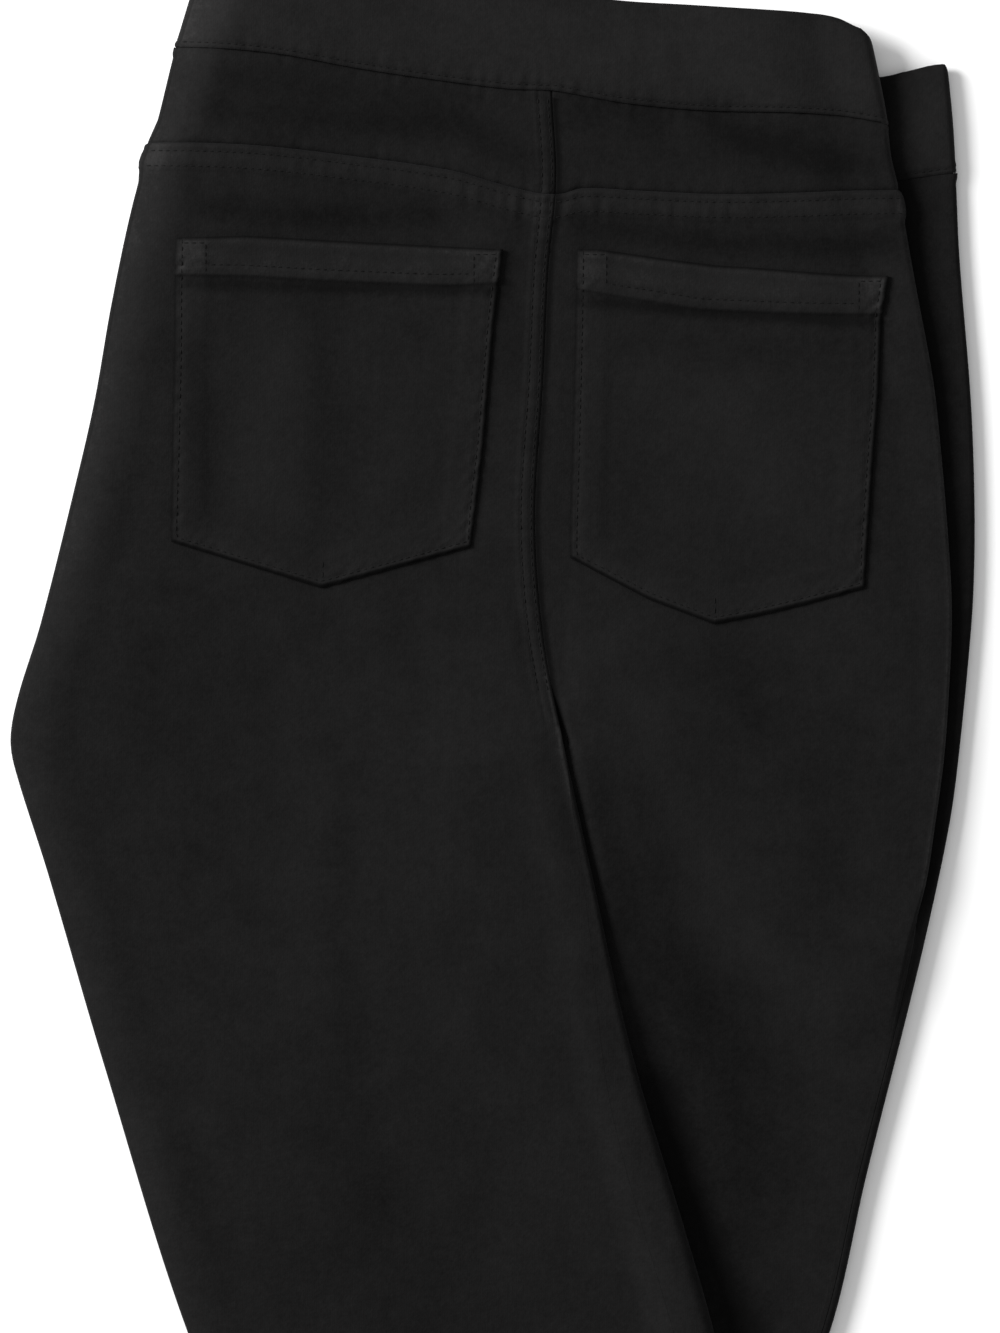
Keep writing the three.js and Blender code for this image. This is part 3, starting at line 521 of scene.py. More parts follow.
def left_top(across, down, cloth):
    """Level of the upper layer of the left hip and leg."""
    gap = spacing(LEFT_LEG, across, down)
    outer_radius, outer = fold("left_outer", down, cloth)
    inner_radius, inner = fold("left_inner", down, cloth)
    level = gap + (2 * outer_radius - gap) * fall((across - outer) / FOLD_SPREAD)
    rise = (2 * inner_radius - gap) * fall((inner - across) / FOLD_SPREAD)
    level = level + np.where(down > CROTCH, rise, 0)
    limit = np.where(down > CROTCH, inner, read(CENTRE_SEAM, down))
    width = np.maximum(NARROWEST, limit - outer)
    level = level + pillow(across - outer) * ease((limit - across) / (PILLOW_SHARE * width))
    free = ease((across - outer) / SOFT_START) * np.maximum(
        ease((limit - across) / SOFT_END), fall((down - SEAM_SOFT_END) / SEAM_SOFT_FADE)
    )
    return level + lift(across, down) + free * softness(across, down)


def front_seam_shift(down):
    """The front's centre seam lies a little beside the back's, so that neither shows light."""
    return FRONT_SEAM_ASIDE * fall((down - CROTCH + FRONT_SEAM_END) / FRONT_SEAM_FADE)


def beside_inseam(length, down, cloth):
    """A place by its distance along the cloth from the left inseam or the centre seam."""
    aside = np.where(length > 0, front_seam_shift(down), 0)
    seam_across = read(CENTRE_SEAM, down) - np.abs(length) - aside
    seam_level = np.where(
        length < 0, left_top(seam_across, down, cloth), lift(seam_across, down)
    )
    radius, middle = fold("left_inner", down, cloth)
    quarter = radius * math.pi / 2
    past = length - np.maximum(0, read(INSEAM_ROLL, down))
    top, under = middle + past + quarter, middle - (past - quarter)
    angle = -past / radius
    turn = middle + radius * np.cos(angle)
    cases = [down < CROTCH, past < -quarter, past > quarter]
    across = np.select(cases, [seam_across, top, under], turn)
    turn_level = radius * (1 + np.sin(angle)) + lift(turn, down)
    levels = [seam_level, left_top(top, down, cloth), lift(under, down)]
    return across, np.select(cases, levels, turn_level)


def left_turn(direction, share):
    """The left folded edge, from its side seam up (1) or down (-1)."""

    def place(down, cloth):
        radius, middle = fold("left_outer", down, cloth)
        angle = math.pi - direction * share * math.pi / 2
        across = middle + radius * math.cos(angle)
        return across, radius * (1 + math.sin(angle)) + lift(across, down)

    return place


# %% The right side, with its tuck
def tuck_section(down, cloth):
    """Sizes of the tuck at one height, and the level of each of its layers."""
    outer_radius, outer = fold("right_outer", down, cloth)
    roll_radius, roll = fold("roll", down, cloth)
    inner = read(ROLLED_EDGE, down) - cloth / 2 - read(TUCK_DEPTH, down)
    gap = spacing(RIGHT_LEG, inner, down) + TUCK_SLACK

    def shelf(across):
        plain = spacing(RIGHT_LEG, across, down)
        return plain + (2 * outer_radius - plain) * fall((outer - across) / OUTER_SPREAD)

    def back(across):
        climb = 2 * gap * ease((across - inner + TUCK_CLIMB) / TUCK_CLIMB)
        round_up = (2 * roll_radius - gap) * ease((across - inner) / (roll - inner))
        return shelf(across) + climb + round_up

    opened = ease((down - TUCK_FADE_START) / (TUCK_END - TUCK_FADE_START))
    lower = ease((down - TUCK_END + CREST_CHANGE_START) / CREST_CHANGE)
    crest = read(RIGHT_EDGE, down) - mix(CREST, CREST_BELOW, lower)
    return gap, outer, roll, roll_radius, inner, shelf, back, crest, opened


def right_inner_rise(across, down, cloth):
    """How far the right leg's inner fold raises its upper layer."""
    radius, middle = fold("right_inner", down, cloth)
    rise = (2 * radius - spacing(RIGHT_LEG, across, down)) * fall((across - middle) / FOLD_SPREAD)
    return np.where(down < CROTCH, 0, rise)


def beside_centre(length, on_top, down, cloth):
    """A place by its distance along the cloth from the centre seam or the right inseam."""
    seam_across = read(CENTRE_SEAM, down) + length
    seam_across = seam_across - (0 if on_top else front_seam_shift(down))
    back = tuck_section(down, cloth)[6]
    radius, middle = fold("right_inner", down, cloth)
    quarter = radius * math.pi / 2
    flat = middle + length - quarter
    flat_level = spacing(RIGHT_LEG, flat, down) + right_inner_rise(flat, down, cloth)
    angle = math.pi - (1 if on_top else -1) * (length / radius)
    cases = [down < CROTCH, length > quarter]
    across = np.select(cases, [seam_across, flat], middle + radius * np.cos(angle))
    top = 1 if on_top else 0
    soft = softness(seam_across, down) * fall((down - SEAM_SOFT_END) / SEAM_SOFT_FADE)
    levels = [top * (back(seam_across) + soft + follow(seam_across, down)), top * flat_level]
    return across, np.select(cases, levels, radius * (1 + np.sin(angle)))


def right_soft(across, down, start, end):
    """Soft folds of the right side, which fade out where the left leg lies on it."""
    over_inner = (across - read(LEFT_LEG_INNER_EDGE, down) - COVER_CLEAR) / COVER_FADE
    over_outer = (read(LEFT_EDGE, down) - across - COVER_CLEAR) / COVER_FADE
    open_leg = np.maximum(ease(over_inner), ease(over_outer))
    uncovered = np.maximum(open_leg, fall((down - CROTCH + HIP_SOFT_FADE) / HIP_SOFT_FADE))
    under_leg = fall((down - CROTCH - UNDER_LEG_START) / UNDER_LEG_FADE)
    uncovered = np.maximum(uncovered, UNDER_LEG_SOFT * under_leg)
    seam_free = np.maximum(
        ease((across - start) / SOFT_END), fall((down - SEAM_SOFT_END) / SEAM_SOFT_FADE)
    )
    return seam_free * ease((end - across) / EDGE_SOFT_END) * uncovered * softness(across, down)


def right_stretch(name, share):
    """One stretch of the right side's section, for the tuck and for the plain leg below it."""

    def place(down, cloth):
        gap, outer, roll, roll_radius, inner, shelf, back, crest, opened = tuck_section(down, cloth)
        zone_end = beside_centre(SEAM_ZONE, True, down, cloth)[0]
        turned = (share - 0.5) * -math.pi
        half = gap / 2
        if name == "run":
            across = mix(zone_end, inner - RUN_END, share)
            level = back(across)
        elif name == "climb":
            across = mix(inner - RUN_END, inner, share)
            level = back(across)
        elif name == "shelf":
            across = mix(inner, roll, share)
            level = back(across)
        elif name == "roll":
            across = roll + roll_radius * math.cos(turned)
            level = shelf(roll) + gap + roll_radius * (1 + math.sin(turned))
        elif name == "under":
            across = mix(roll, inner + half, share)
            level = shelf(across) + gap
        elif name == "turn_back":
            across = inner + half - half * math.cos(turned)
            level = shelf(inner + half) + half * (1 + math.sin(turned))
        else:
            across = mix(inner + half, outer, share)
            level = shelf(across)
        # without the tuck: where the stretch starts and ends, and its height in gaps at both
        start, end, high, low = {
            "run": (zone_end, crest - 50, 2, 2),
            "climb": (crest - 50, crest - 25, 2, 2),
            "shelf": (crest - 25, crest - 3.4, 2, 2),
            "roll": (crest - 3.4, crest - 1.3, 2, 1.5),
            "under": (crest - 1.3, crest - CREST_GAP / 2, 1.5, 0.65),
            "turn_back": (crest + CREST_GAP / 2, crest + 0.8, 0.4, 0.1),
            "return": (crest + 0.8, outer, 0.1, 0),
        }[name]
        plain = mix(start, end, share)
        step = mix(high, low, ease(share)) * fall((down - TUCK_END) / STEP_FADE)
        step = step * ease((plain - crest + STEP_CLEAR + STEP_RISE) / STEP_RISE)
        across = mix(across, plain, opened)
        level = mix(level, shelf(plain) + gap * step, opened)
        level = level + right_inner_rise(across, down, cloth)
        if name in ("run", "climb", "shelf"):
            level = level + right_soft(across, down, zone_end, mix(roll, crest - 8, opened))
            level = level + follow(across, down)
        return across, level

    return place


def outer_turn(share):
    """The right folded edge, from the upper layer down to the floor."""

    def place(down, cloth):
        radius, middle = fold("right_outer", down, cloth)
        angle = (0.5 - share) * math.pi
        return middle + radius * math.cos(angle), radius * (1 + math.sin(angle))

    return place


# %% [markdown]
# ## Columns and rows
#
# A sheet of cloth is a grid: columns run down the garment and rows run round it. Columns crowd
# together at seams and folds, where the shape turns quickly, and spread out on the open cloth.
# Subdividing everything evenly would cost many more faces for the same look.

# %% Columns of each layer, clockwise seen from the hem
def stretch(count, start, end, place, skip_first=True, warp=1.0, from_end=False):
    columns = []
    for n in range(1 if skip_first else 0, count + 1):
        share = n / count
        share = 1 - (1 - share) ** warp if from_end else share**warp
        columns.append((mix(start, end, share), place(share)))
    return columns


def left_inner(down, cloth):
    """Where the left side's wide run ends, and distances along the cloth past it."""
    hips = down < CROTCH
    rolled = np.where(hips, 0, np.maximum(0, read(INSEAM_ROLL, down)))
    outline = np.where(hips, read(CENTRE_SEAM, down), read(LEFT_LEG_INNER_EDGE, down))
    limit = outline - rolled - 2 * SEAM_ZONE
    radius, middle = fold("left_inner", down, cloth)
    quarter = radius * math.pi / 2
    back = np.where(hips, outline - limit, middle - limit + quarter - rolled)
    front = np.where(hips, outline - limit, middle - limit + quarter + rolled)
    turn_start = np.where(hips, HIDDEN_FOLD / 2, np.maximum(HIDDEN_FOLD / 2, rolled - quarter))
    turn_end = np.where(hips, HIDDEN_FOLD * math.pi, rolled + quarter)
    seam = np.full(np.shape(down), INSEAM_GAP / 2)
    return {
        "limit": limit, "back": back, "front": front,
        "turn_start": turn_start, "turn_end": turn_end, "seam": seam,
    }


def back_left_columns(turn=7, run=92, zone=10):
    def run_place(share):
        def place(down, cloth):
            outer = fold("left_outer", down, cloth)[1]
            across = mix(outer, left_inner(down, cloth)["limit"], share)
            return across, left_top(across, down, cloth)

        return place

    def zone_place(share):
        def place(down, cloth):
            length = left_inner(down, cloth)["back"] * (1 - share) ** 2
            return beside_inseam(-np.maximum(INSEAM_GAP / 2, length), down, cloth)

        return place

    return [
        *stretch(turn, -0.1, 0, lambda share: left_turn(1, mix(TURN_START, 0.8, share)), False),
        *stretch(run, 0, 0.985, run_place, warp=1.35, from_end=True),
        *stretch(zone, 0.985, 1, zone_place),
    ]


def back_right_columns(zone=6, run=62, climb=13, shelf=11, roll=14, under=4):
    def zone_place(share):
        length = mix(SEAM_GAP / 2, SEAM_ZONE, share)
        return lambda down, cloth: beside_centre(length, True, down, cloth)

    return [
        *stretch(zone, 1, 1.015, zone_place, False),
        *stretch(run, 1.015, 1.66, lambda share: right_stretch("run", share), warp=1.35),
        *stretch(climb, 1.66, 1.88, lambda share: right_stretch("climb", share)),
        *stretch(shelf, 1.88, 2, lambda share: right_stretch("shelf", share)),
        *stretch(roll, 2, 2.2, lambda share: right_stretch("roll", share)),
        *stretch(under, 2.2, 2.4, lambda share: right_stretch("under", share * UNDER_END)),
    ]


def front_right_columns(to_centre=True, turn=5, run=18, outer=12, bottom=24, zone=3):
    def bottom_place(share):
        def place(down, cloth):
            start = fold("right_outer", down, cloth)[1]
            end = beside_centre(SEAM_ZONE, False, down, cloth)[0]
            across = mix(start, end, share)
            return across, np.zeros_like(across)

        return place

    def zone_place(share):
        length = mix(SEAM_ZONE, SEAM_GAP / 2, share)
        return lambda down, cloth: beside_centre(length, False, down, cloth)

    def turn_place(share):
        return right_stretch("turn_back", mix(TURN_START, 1, share))

    columns = [
        *stretch(turn, 2.4, 2.5, turn_place, False),
        *stretch(run, 2.5, 2.8, lambda share: right_stretch("return", share)),
        *stretch(outer, 2.8, 3, outer_turn),
        *stretch(bottom, 3, 3.985, bottom_place),
    ]
    return columns + stretch(zone, 3.985, 4, zone_place) if to_centre else columns


def front_left_columns(from_centre=True, seam=10, turn=14, inner=5, bottom=40, outer=7):
    def wrap(first, second):
        def at(share):
            def place(down, cloth):
                lengths = left_inner(down, cloth)
                return beside_inseam(mix(lengths[first], lengths[second], share), down, cloth)

            return place

        return at

    def bottom_place(share):
        def place(down, cloth):
            end = fold("left_outer", down, cloth)[1]
            across = mix(left_inner(down, cloth)["limit"], end, share)
            return across, lift(across, down)

        return place

    columns = [
        *stretch(bottom, 4.03, 5, bottom_place),
        *stretch(outer, 5, 5.1, lambda share: left_turn(-1, mix(1, TURN_START, share))),
    ]
    if not from_centre:
        return columns
    return [
        *stretch(seam, 4, 4.01, wrap("seam", "turn_start"), False),
        *stretch(turn, 4.01, 4.02, wrap("turn_start", "turn_end")),
        *stretch(inner, 4.02, 4.03, wrap("turn_end", "front")),
        *columns,
    ]


back_left = back_left_columns()
back_right = back_right_columns()
print("columns on the back:", len(back_left), "and", len(back_right))


# %% Rows of each piece
def spaced(*runs):
    """Distances that start at 0 and go on to each end in steps of about the given size."""
    places = [0.0]
    for end, step in runs:
        count = max(1, round((end - places[-1]) / step))
        places.extend(np.linspace(places[-1], end, count + 1)[1:])
    return np.array(places)


def rows_between(top, bottom, shares):
    def rows(column):
        around = column[0]
        start = read(SEAM_LINES, around, top) + (0 if top == WAIST else BAND_SEAM_GAP / 2)
        return mix(start, read(SEAM_LINES, around, bottom) - BAND_SEAM_GAP / 2, shares)

    return rows


def down_at_hem(leg, column, above):
    down = np.full(len(above), float(leg["hem_down"]))
    for _ in range(6):
        across = column[1](down, CLOTH)[0]
        down = down + above_hem(leg, across, down) - above
    return down


SEAM_ROWS = spaced((3, 0.6), (13, 1.1))
HEM_ROWS = np.array(
    [HEM_HEIGHT + HEM_STEP, HEM_HEIGHT + 0.7, HEM_HEIGHT, 23.5, 22, 20, 17, 13, 9, 5, 2, 0.8, 0]
)


def panel_rows(leg, top, above=8, hips=88, legs=196):
    def rows(column):
        start = read(SEAM_LINES, column[0], top) + SEAM_GAP / 2
        first = start + SEAM_ROWS * min(1.0, (HIP_ROWS_START - float(start)) / 18)
        second = np.linspace(first[-1], HIP_ROWS_START, above + 1)[1:]
        third = np.linspace(HIP_ROWS_START, CROTCH, hips + 1)[1:]
        hem = down_at_hem(leg, column, HEM_ROWS)
        fourth = mix(CROTCH + 0.01, hem[0], np.linspace(0, 1, legs + 1)[1:])
        return np.concatenate([first, second, third, fourth, hem[1:]])

    return rows


# %% [markdown]
# ## From a grid to a closed wall of cloth
#
# The outer face carries the low relief: sewn edges that round down into their seam, allowances
# that stand proud, dents along rows of stitches. The inner face stays smooth, as the inside of
# a garment is not seen. Blender's Solidify modifier could add the thickness, but it would move
# the hidden side through the layer below at tight folds.

# %% Build a wall from its columns and rows
def line_tangent(points, axis):
    """Direction of the grid's lines along one axis, second order at the two ends."""
    p = np.moveaxis(points, axis, 0)
    t = np.empty_like(p)
    t[1:-1] = p[2:] - p[:-2]
    for end, near, far, side in ((0, 1, 2, 1), (-1, -2, -3, -1)):
        first = np.linalg.norm(p[near] - p[end], axis=-1, keepdims=True) + 1e-9
        second = np.linalg.norm(p[far] - p[end], axis=-1, keepdims=True) + 1e-9
        t[end] = side * ((p[near] - p[end]) * second / first - (p[far] - p[end]) * first / second)
    return np.moveaxis(t, 0, axis)


def cloth_grid(columns, rows, cloth_at, relief):
    across, level, downs, cloths = [], [], [], []
    for column in columns:
        down = rows(column)
        rough = column[1](down, CLOTH)[0]
        cloth = cloth_at(rough, down)
        x, z = column[1](down, cloth)
        across.append(x)
        level.append(z + cloth / 2)
        downs.append(down)
        cloths.append(cloth)
    across, level, down, cloth = (np.stack(v, 1) for v in (across, level, downs, cloths))
    points = np.stack([across - ORIGIN_ACROSS, ORIGIN_DOWN - down, level], -1)
    normals = np.cross(line_tangent(points, 0), line_tangent(points, 1))
    normals /= np.linalg.norm(normals, axis=-1, keepdims=True) + 1e-12
    around = np.broadcast_to(np.array([c[0] for c in columns]), across.shape)
    raised = relief(around, across, down) if relief else np.zeros_like(across)
    on_top = (around >= 0) & (around <= 2.1)
    # painted light and shade: raised relief is painted lighter and sunk relief darker, the strokes and
    # rims add painted light and shade, and the layers below get the painted shadow beside the roll
    painted_light_shade = tone(across, down) + rim_tone(around, across, down) if relief else 0
    painted_shading = raised + np.where(on_top, painted_light_shade, -beside_roll(across, down))
    outer = points + normals * (cloth / 2 + raised)[..., None]
    inner = points - normals * (cloth / 2)[..., None]
    return outer, inner, painted_shading


SHARP_ANGLE = math.radians(55)


def add_object(name, data):
    obj = bpy.data.objects.new(name, data)
    bpy.context.scene.collection.objects.link(obj)
    return obj


def grid_quads(points):
    """Four-cornered faces between the rows and columns of a grid of point numbers."""
    corners = [points[:-1, :-1], points[1:, :-1], points[1:, 1:], points[:-1, 1:]]
    return np.stack(corners, -1).reshape(-1, 4)


def numbered(face):
    """The numbers of a face's points, in its rows and columns."""
    return np.arange(face.shape[0] * face.shape[1]).reshape(face.shape[:2])


def wall_mesh(name, outer, inner, painted_shading):
    """A closed mesh between two grids of points in millimetres, with the painted light and shade of its
    outer face.
    """
    top = numbered(outer)
    under = top + top.size
    faces = [
        grid_quads(top),
        grid_quads(under)[:, [0, 3, 2, 1]],
        np.stack([top[:-1, 0], under[:-1, 0], under[1:, 0], top[1:, 0]], -1),
        np.stack([top[1:, -1], under[1:, -1], under[:-1, -1], top[:-1, -1]], -1),
        np.stack([top[0, 1:], under[0, 1:], under[0, :-1], top[0, :-1]], -1),
        np.stack([top[-1, :-1], under[-1, :-1], under[-1, 1:], top[-1, 1:]], -1),
    ]
    vertices = np.concatenate([outer.reshape(-1, 3), inner.reshape(-1, 3)]) * MM
    mesh = bpy.data.meshes.new(name)
    mesh.from_pydata(vertices.tolist(), [], np.concatenate(faces).tolist())
    mesh.shade_smooth()
    mesh.set_sharp_from_angle(angle=SHARP_ANGLE)
    # the painted light and shade, on the outer face only
    values = mesh.attributes.new("painted_shading", "FLOAT", "POINT").data
    values.foreach_set("value", np.concatenate([painted_shading.ravel(), np.zeros(painted_shading.size)]))
    return add_object(name, mesh)


def surface_tree(outer):
    """The outer face alone, for finding the height of the cloth under a stitch or a pocket."""
    faces = grid_quads(numbered(outer))
    return BVHTree.FromPolygons(outer.reshape(-1, 3).tolist(), faces.tolist())


# %% [markdown]
# ## Low relief of sewn cloth
#
# Under every topstitched seam lies a folded allowance. It lifts the cloth by a few tenths of a
# millimetre as far as the second row of stitches, and each row pulls a fine dent with small
# uneven puckers. These numbers are small, but they are what the eye reads as a real seam.

# %% Relief along a seam
rng = np.random.default_rng(7)
RIPPLES = [(rng.uniform(0.55, 1.5), rng.uniform(0, 6.28), rng.uniform(-0.25, 0.25)) for _ in range(6)]


def puckers(along, aside):
    """Uneven small ripples across a row of stitches, between -1 and 1."""
    total = 0
    for frequency, phase, slant in RIPPLES:
        total = total + np.sin(along * frequency + phase + aside * slant)
    return total / len(RIPPLES)


EDGE_DEPTH = 0.75
EDGE_ROUND = 0.7
ALLOWANCE_RISE = 1.5
ALLOWANCE_FALL = 1.6
DENT = 0.32
DENT_WIDTH = 0.8
PUCKER = 0.34
PUCKER_REACH = 4.5


def rounded(distance, depth, reach):
    """A sewn edge rounds down close to its seam."""
    return -depth * np.exp(-distance / reach)


def dent(distance):
    return DENT * bell(distance, DENT_WIDTH)


def ripples(distance, reach, along, aside):
    return PUCKER * bell(distance, reach) * puckers(along, aside)


def seam_relief(distance, along, rows, allowance, proud):
    """Height beside a seam at distance 0: rounded edge, raised allowance, dents and puckers."""
    height = rounded(np.abs(distance), EDGE_DEPTH, EDGE_ROUND)
    folded = fall((distance - allowance + ALLOWANCE_FALL / 2) / ALLOWANCE_FALL)
    height = height + proud * folded * ease(distance / ALLOWANCE_RISE)
    for row in rows:
        height = height - dent(distance - row)
        height = height + ripples(distance - row, PUCKER_REACH, along, distance)
    return height


YOKE_ROWS = (3.6, 10.0)
YOKE_ALLOWANCE = 11
YOKE_PROUD = 0.8
CENTRE_ROWS = (1.9, 6.1)
CENTRE_ALLOWANCE = 7.8
CENTRE_PROUD = 0.38
YOKE_CENTRE_PROUD = 0.3
CENTRE_FADE = 14
BAND_ROW = 2.2
# the relief is lower close to the roll, and on hidden cloth it ends below the yoke seam
AT_ROLL = 0.35
ROLL_REACH = 9
HIDDEN_END = 14
# how full the band is in its middle, and its wide soft ripples
BAND_FULL = 0.5
BAND_RIPPLE = 0.07
BAND_RIPPLE_RATE = 0.45


def back_panel_relief(side):
    def relief(around, across, down):
        below = down - read(SEAM_LINES, around, YOKE)
        height = seam_relief(below, across, YOKE_ROWS, YOKE_ALLOWANCE, YOKE_PROUD)
        seam = read(CENTRE_SEAM, np.minimum(down, CROTCH))
        beside = (seam - across) * side
        if side > 0:
            centre = seam_relief(beside, down, CENTRE_ROWS, CENTRE_ALLOWANCE, CENTRE_PROUD)
        else:
            centre = rounded(np.abs(beside), 0.55, 0.9)
        height = height + centre * fall((down - CROTCH + CENTRE_FADE) / CENTRE_FADE)
        if side < 0:
            to_roll = read(ROLLED_EDGE, np.minimum(down, TUCK_END)) - across
            height = height * mix(AT_ROLL, 1, ease(to_roll / ROLL_REACH))
        on_upper = (around > 0) & (around <= 2)
        return np.where(on_upper | (below < HIDDEN_END), height, 0)

    return relief


def yoke_relief(side):
    def relief(around, across, down):
        to_band = down - read(SEAM_LINES, around, BAND)
        to_yoke = read(SEAM_LINES, around, YOKE) - down
        height = rounded(to_band, 0.7, 1.4) + rounded(to_yoke, 0.7, 1.0)
        height = height + ripples(to_yoke, 5, across, down)
        height = height + ripples(to_band, 6, across + 40, down)
        seam = read(CENTRE_SEAM, down)
        beside = (seam - across) * side
        if side > 0:
            proud = YOKE_CENTRE_PROUD
            return height + seam_relief(beside, down, CENTRE_ROWS, CENTRE_ALLOWANCE, proud)
        return height + rounded(np.abs(beside), 0.4, 0.7)

    return relief


def band_relief(around, across, down):
    to_top = down - read(SEAM_LINES, around, WAIST)
    to_seam = read(SEAM_LINES, around, BAND) - down
    height = rounded(to_top, 0.9, 1.2) + rounded(to_seam, 0.7, 0.7)
    height = height - dent(to_seam - BAND_ROW)
    height = height + ripples(to_seam - BAND_ROW, 5, across, down)
    full = np.sin(math.pi * clamp(to_top / (to_top + to_seam)))
    waves = puckers(across * BAND_RIPPLE_RATE, 0)
    return height + BAND_FULL * full + BAND_RIPPLE * full * waves


# %% [markdown]
# ## Black double knit
#
# A ponte knit is two fine layers of loops locked together. From a metre away it is a soft, dull
# black with a faint grain and cloudy patches where the nap lies a little differently. A single
# black would look like a hole in the picture, so the colour drifts slightly, the grain comes from
# a bump, and a low sheen lights the folded edges.

# %% Shader group for the knit's grain
def new_group(name, inputs, outputs):
    group = bpy.data.node_groups.new(name, "ShaderNodeTree")
    for label, kind, value in inputs:
        socket = group.interface.new_socket(label, in_out="INPUT", socket_type=kind)
        socket.default_value = value
    for label, kind in outputs:
        group.interface.new_socket(label, in_out="OUTPUT", socket_type=kind)
    return group, group.nodes.new("NodeGroupInput"), group.nodes.new("NodeGroupOutput")


def set_inputs(node, values):
    for label, value in values.items():
        node.inputs[label].default_value = value


def math_node(tree, operation, *values):
    node = tree.nodes.new("ShaderNodeMath")
    node.operation = operation
    for socket, value in zip(node.inputs, values):
        if isinstance(value, (int, float)):
            socket.default_value = value
        else:
            tree.links.new(value, socket)
    return node.outputs[0]


def noise_node(tree, vector, scale, detail, roughness):
    node = tree.nodes.new("ShaderNodeTexNoise")
    tree.links.new(vector, node.inputs["Vector"])
    set_inputs(node, {"Scale": scale, "Detail": detail, "Roughness": roughness})
    return node.outputs["Fac"]


knit_grain, knit_in, knit_out = new_group(
    "knit_grain",
    [("Wale", "NodeSocketFloat", 0.3), ("Fuzz", "NodeSocketFloat", 0.7)],
    [("Height", "NodeSocketFloat"), ("Grain", "NodeSocketFloat"), ("Cloud", "NodeSocketFloat")],
)
where = knit_grain.nodes.new("ShaderNodeTexCoord").outputs["Object"]
wales = knit_grain.nodes.new("ShaderNodeTexWave")
wales.bands_direction = "X"
set_inputs(wales, {"Scale": 330, "Distortion": 1.6, "Detail": 2, "Detail Scale": 3})
knit_grain.links.new(where, wales.inputs["Vector"])
fine = noise_node(knit_grain, where, 950, 2, 0.6)
coarse = noise_node(knit_grain, where, 340, 2, 0.55)
cloud = noise_node(knit_grain, where, 60, 4, 0.6)
ribs = math_node(knit_grain, "MULTIPLY", wales.outputs["Fac"], knit_in.outputs["Wale"])
both = math_node(knit_grain, "ADD", fine, coarse)
fuzz = math_node(knit_grain, "MULTIPLY", both, knit_in.outputs["Fuzz"])
knit_grain.links.new(math_node(knit_grain, "ADD", ribs, fuzz), knit_out.inputs["Height"])
halves = [math_node(knit_grain, "MULTIPLY", noise, 0.5) for noise in (fine, coarse)]
knit_grain.links.new(math_node(knit_grain, "ADD", *halves), knit_out.inputs["Grain"])
knit_grain.links.new(cloud, knit_out.inputs["Cloud"])
print("shader groups:", [group.name for group in bpy.data.node_groups])


# %% Materials from the group
# how strongly the painted light and shade in the mesh lighten or darken the knit's colour
PAINTED_SHADING_STRENGTH = 0.11
CLOUD_SHARE = 0.3
GRAIN_SHARE = 0.46
GRAIN_START = 0.12
# the ramp has the dark and the light tone at these places, and goes on beyond both
DARK_PLACE = 0.3
LIGHT_PLACE = 0.7
DARKEST = 0.4
LIGHTEST = 2.3


def knit_material(name, dark, light, wale, fuzz, bump, sheen, roughness):
    material = bpy.data.materials.new(name)
    material.use_nodes = True
    tree = material.node_tree
    shader = tree.nodes["Principled BSDF"]
    grain = tree.nodes.new("ShaderNodeGroup")
    grain.node_tree = knit_grain
    set_inputs(grain, {"Wale": wale, "Fuzz": fuzz})
    # the mesh's painted light and shade, added to the knit's random cloud and grain
    painted_shading = tree.nodes.new("ShaderNodeAttribute")
    painted_shading.attribute_name = "painted_shading"
    cloudy = math_node(tree, "MULTIPLY", grain.outputs["Cloud"], CLOUD_SHARE)
    speckled = math_node(tree, "MULTIPLY_ADD", grain.outputs["Grain"], GRAIN_SHARE, GRAIN_START)
    painted_light_shade = math_node(tree, "MULTIPLY", painted_shading.outputs["Fac"], PAINTED_SHADING_STRENGTH)
    shade = math_node(tree, "ADD", math_node(tree, "ADD", cloudy, speckled), painted_light_shade)
    ramp = tree.nodes.new("ShaderNodeValToRGB")
    ends = ramp.color_ramp.elements
    ends[0].color = (*(DARKEST * channel for channel in dark), 1)
    ends[1].color = (*(LIGHTEST * channel for channel in light), 1)
    ends.new(DARK_PLACE).color = (*dark, 1)
    ends.new(LIGHT_PLACE).color = (*light, 1)
    tree.links.new(shade, ramp.inputs["Fac"])
    tree.links.new(ramp.outputs["Color"], shader.inputs["Base Color"])
    bump_node = tree.nodes.new("ShaderNodeBump")
    set_inputs(bump_node, {"Strength": bump, "Distance": 0.0003})
    tree.links.new(grain.outputs["Height"], bump_node.inputs["Height"])
    tree.links.new(bump_node.outputs["Normal"], shader.inputs["Normal"])
    set_inputs(shader, {"Roughness": roughness, "Specular IOR Level": 0.04})
    sheen_tint = (0.5, 0.5, 0.53, 1)
    set_inputs(shader, {"Sheen Weight": sheen, "Sheen Roughness": 0.45, "Sheen Tint": sheen_tint})
    return material


KNIT_FINISH = {"wale": 0.08, "fuzz": 1.0, "bump": 0.45, "sheen": 0.04, "roughness": 0.85}
THREAD_FINISH = {"wale": 0, "fuzz": 0.3, "bump": 0.2, "sheen": 0.02, "roughness": 0.75}
# the dark and the light tone of each; the band's are the knit's tones painted lighter, as painted light
# on the raised band
KNIT_TONES = (0.0032, 0.0031, 0.0031), (0.0094, 0.0092, 0.0092)
BAND_PAINTED_LIGHT_TONES = (0.0045, 0.0044, 0.0044), (0.0117, 0.0114, 0.0114)
THREAD_TONES = (0.0042, 0.0041, 0.0041), (0.0080, 0.0079, 0.0079)
knit = knit_material("black_knit", *KNIT_TONES, **KNIT_FINISH)
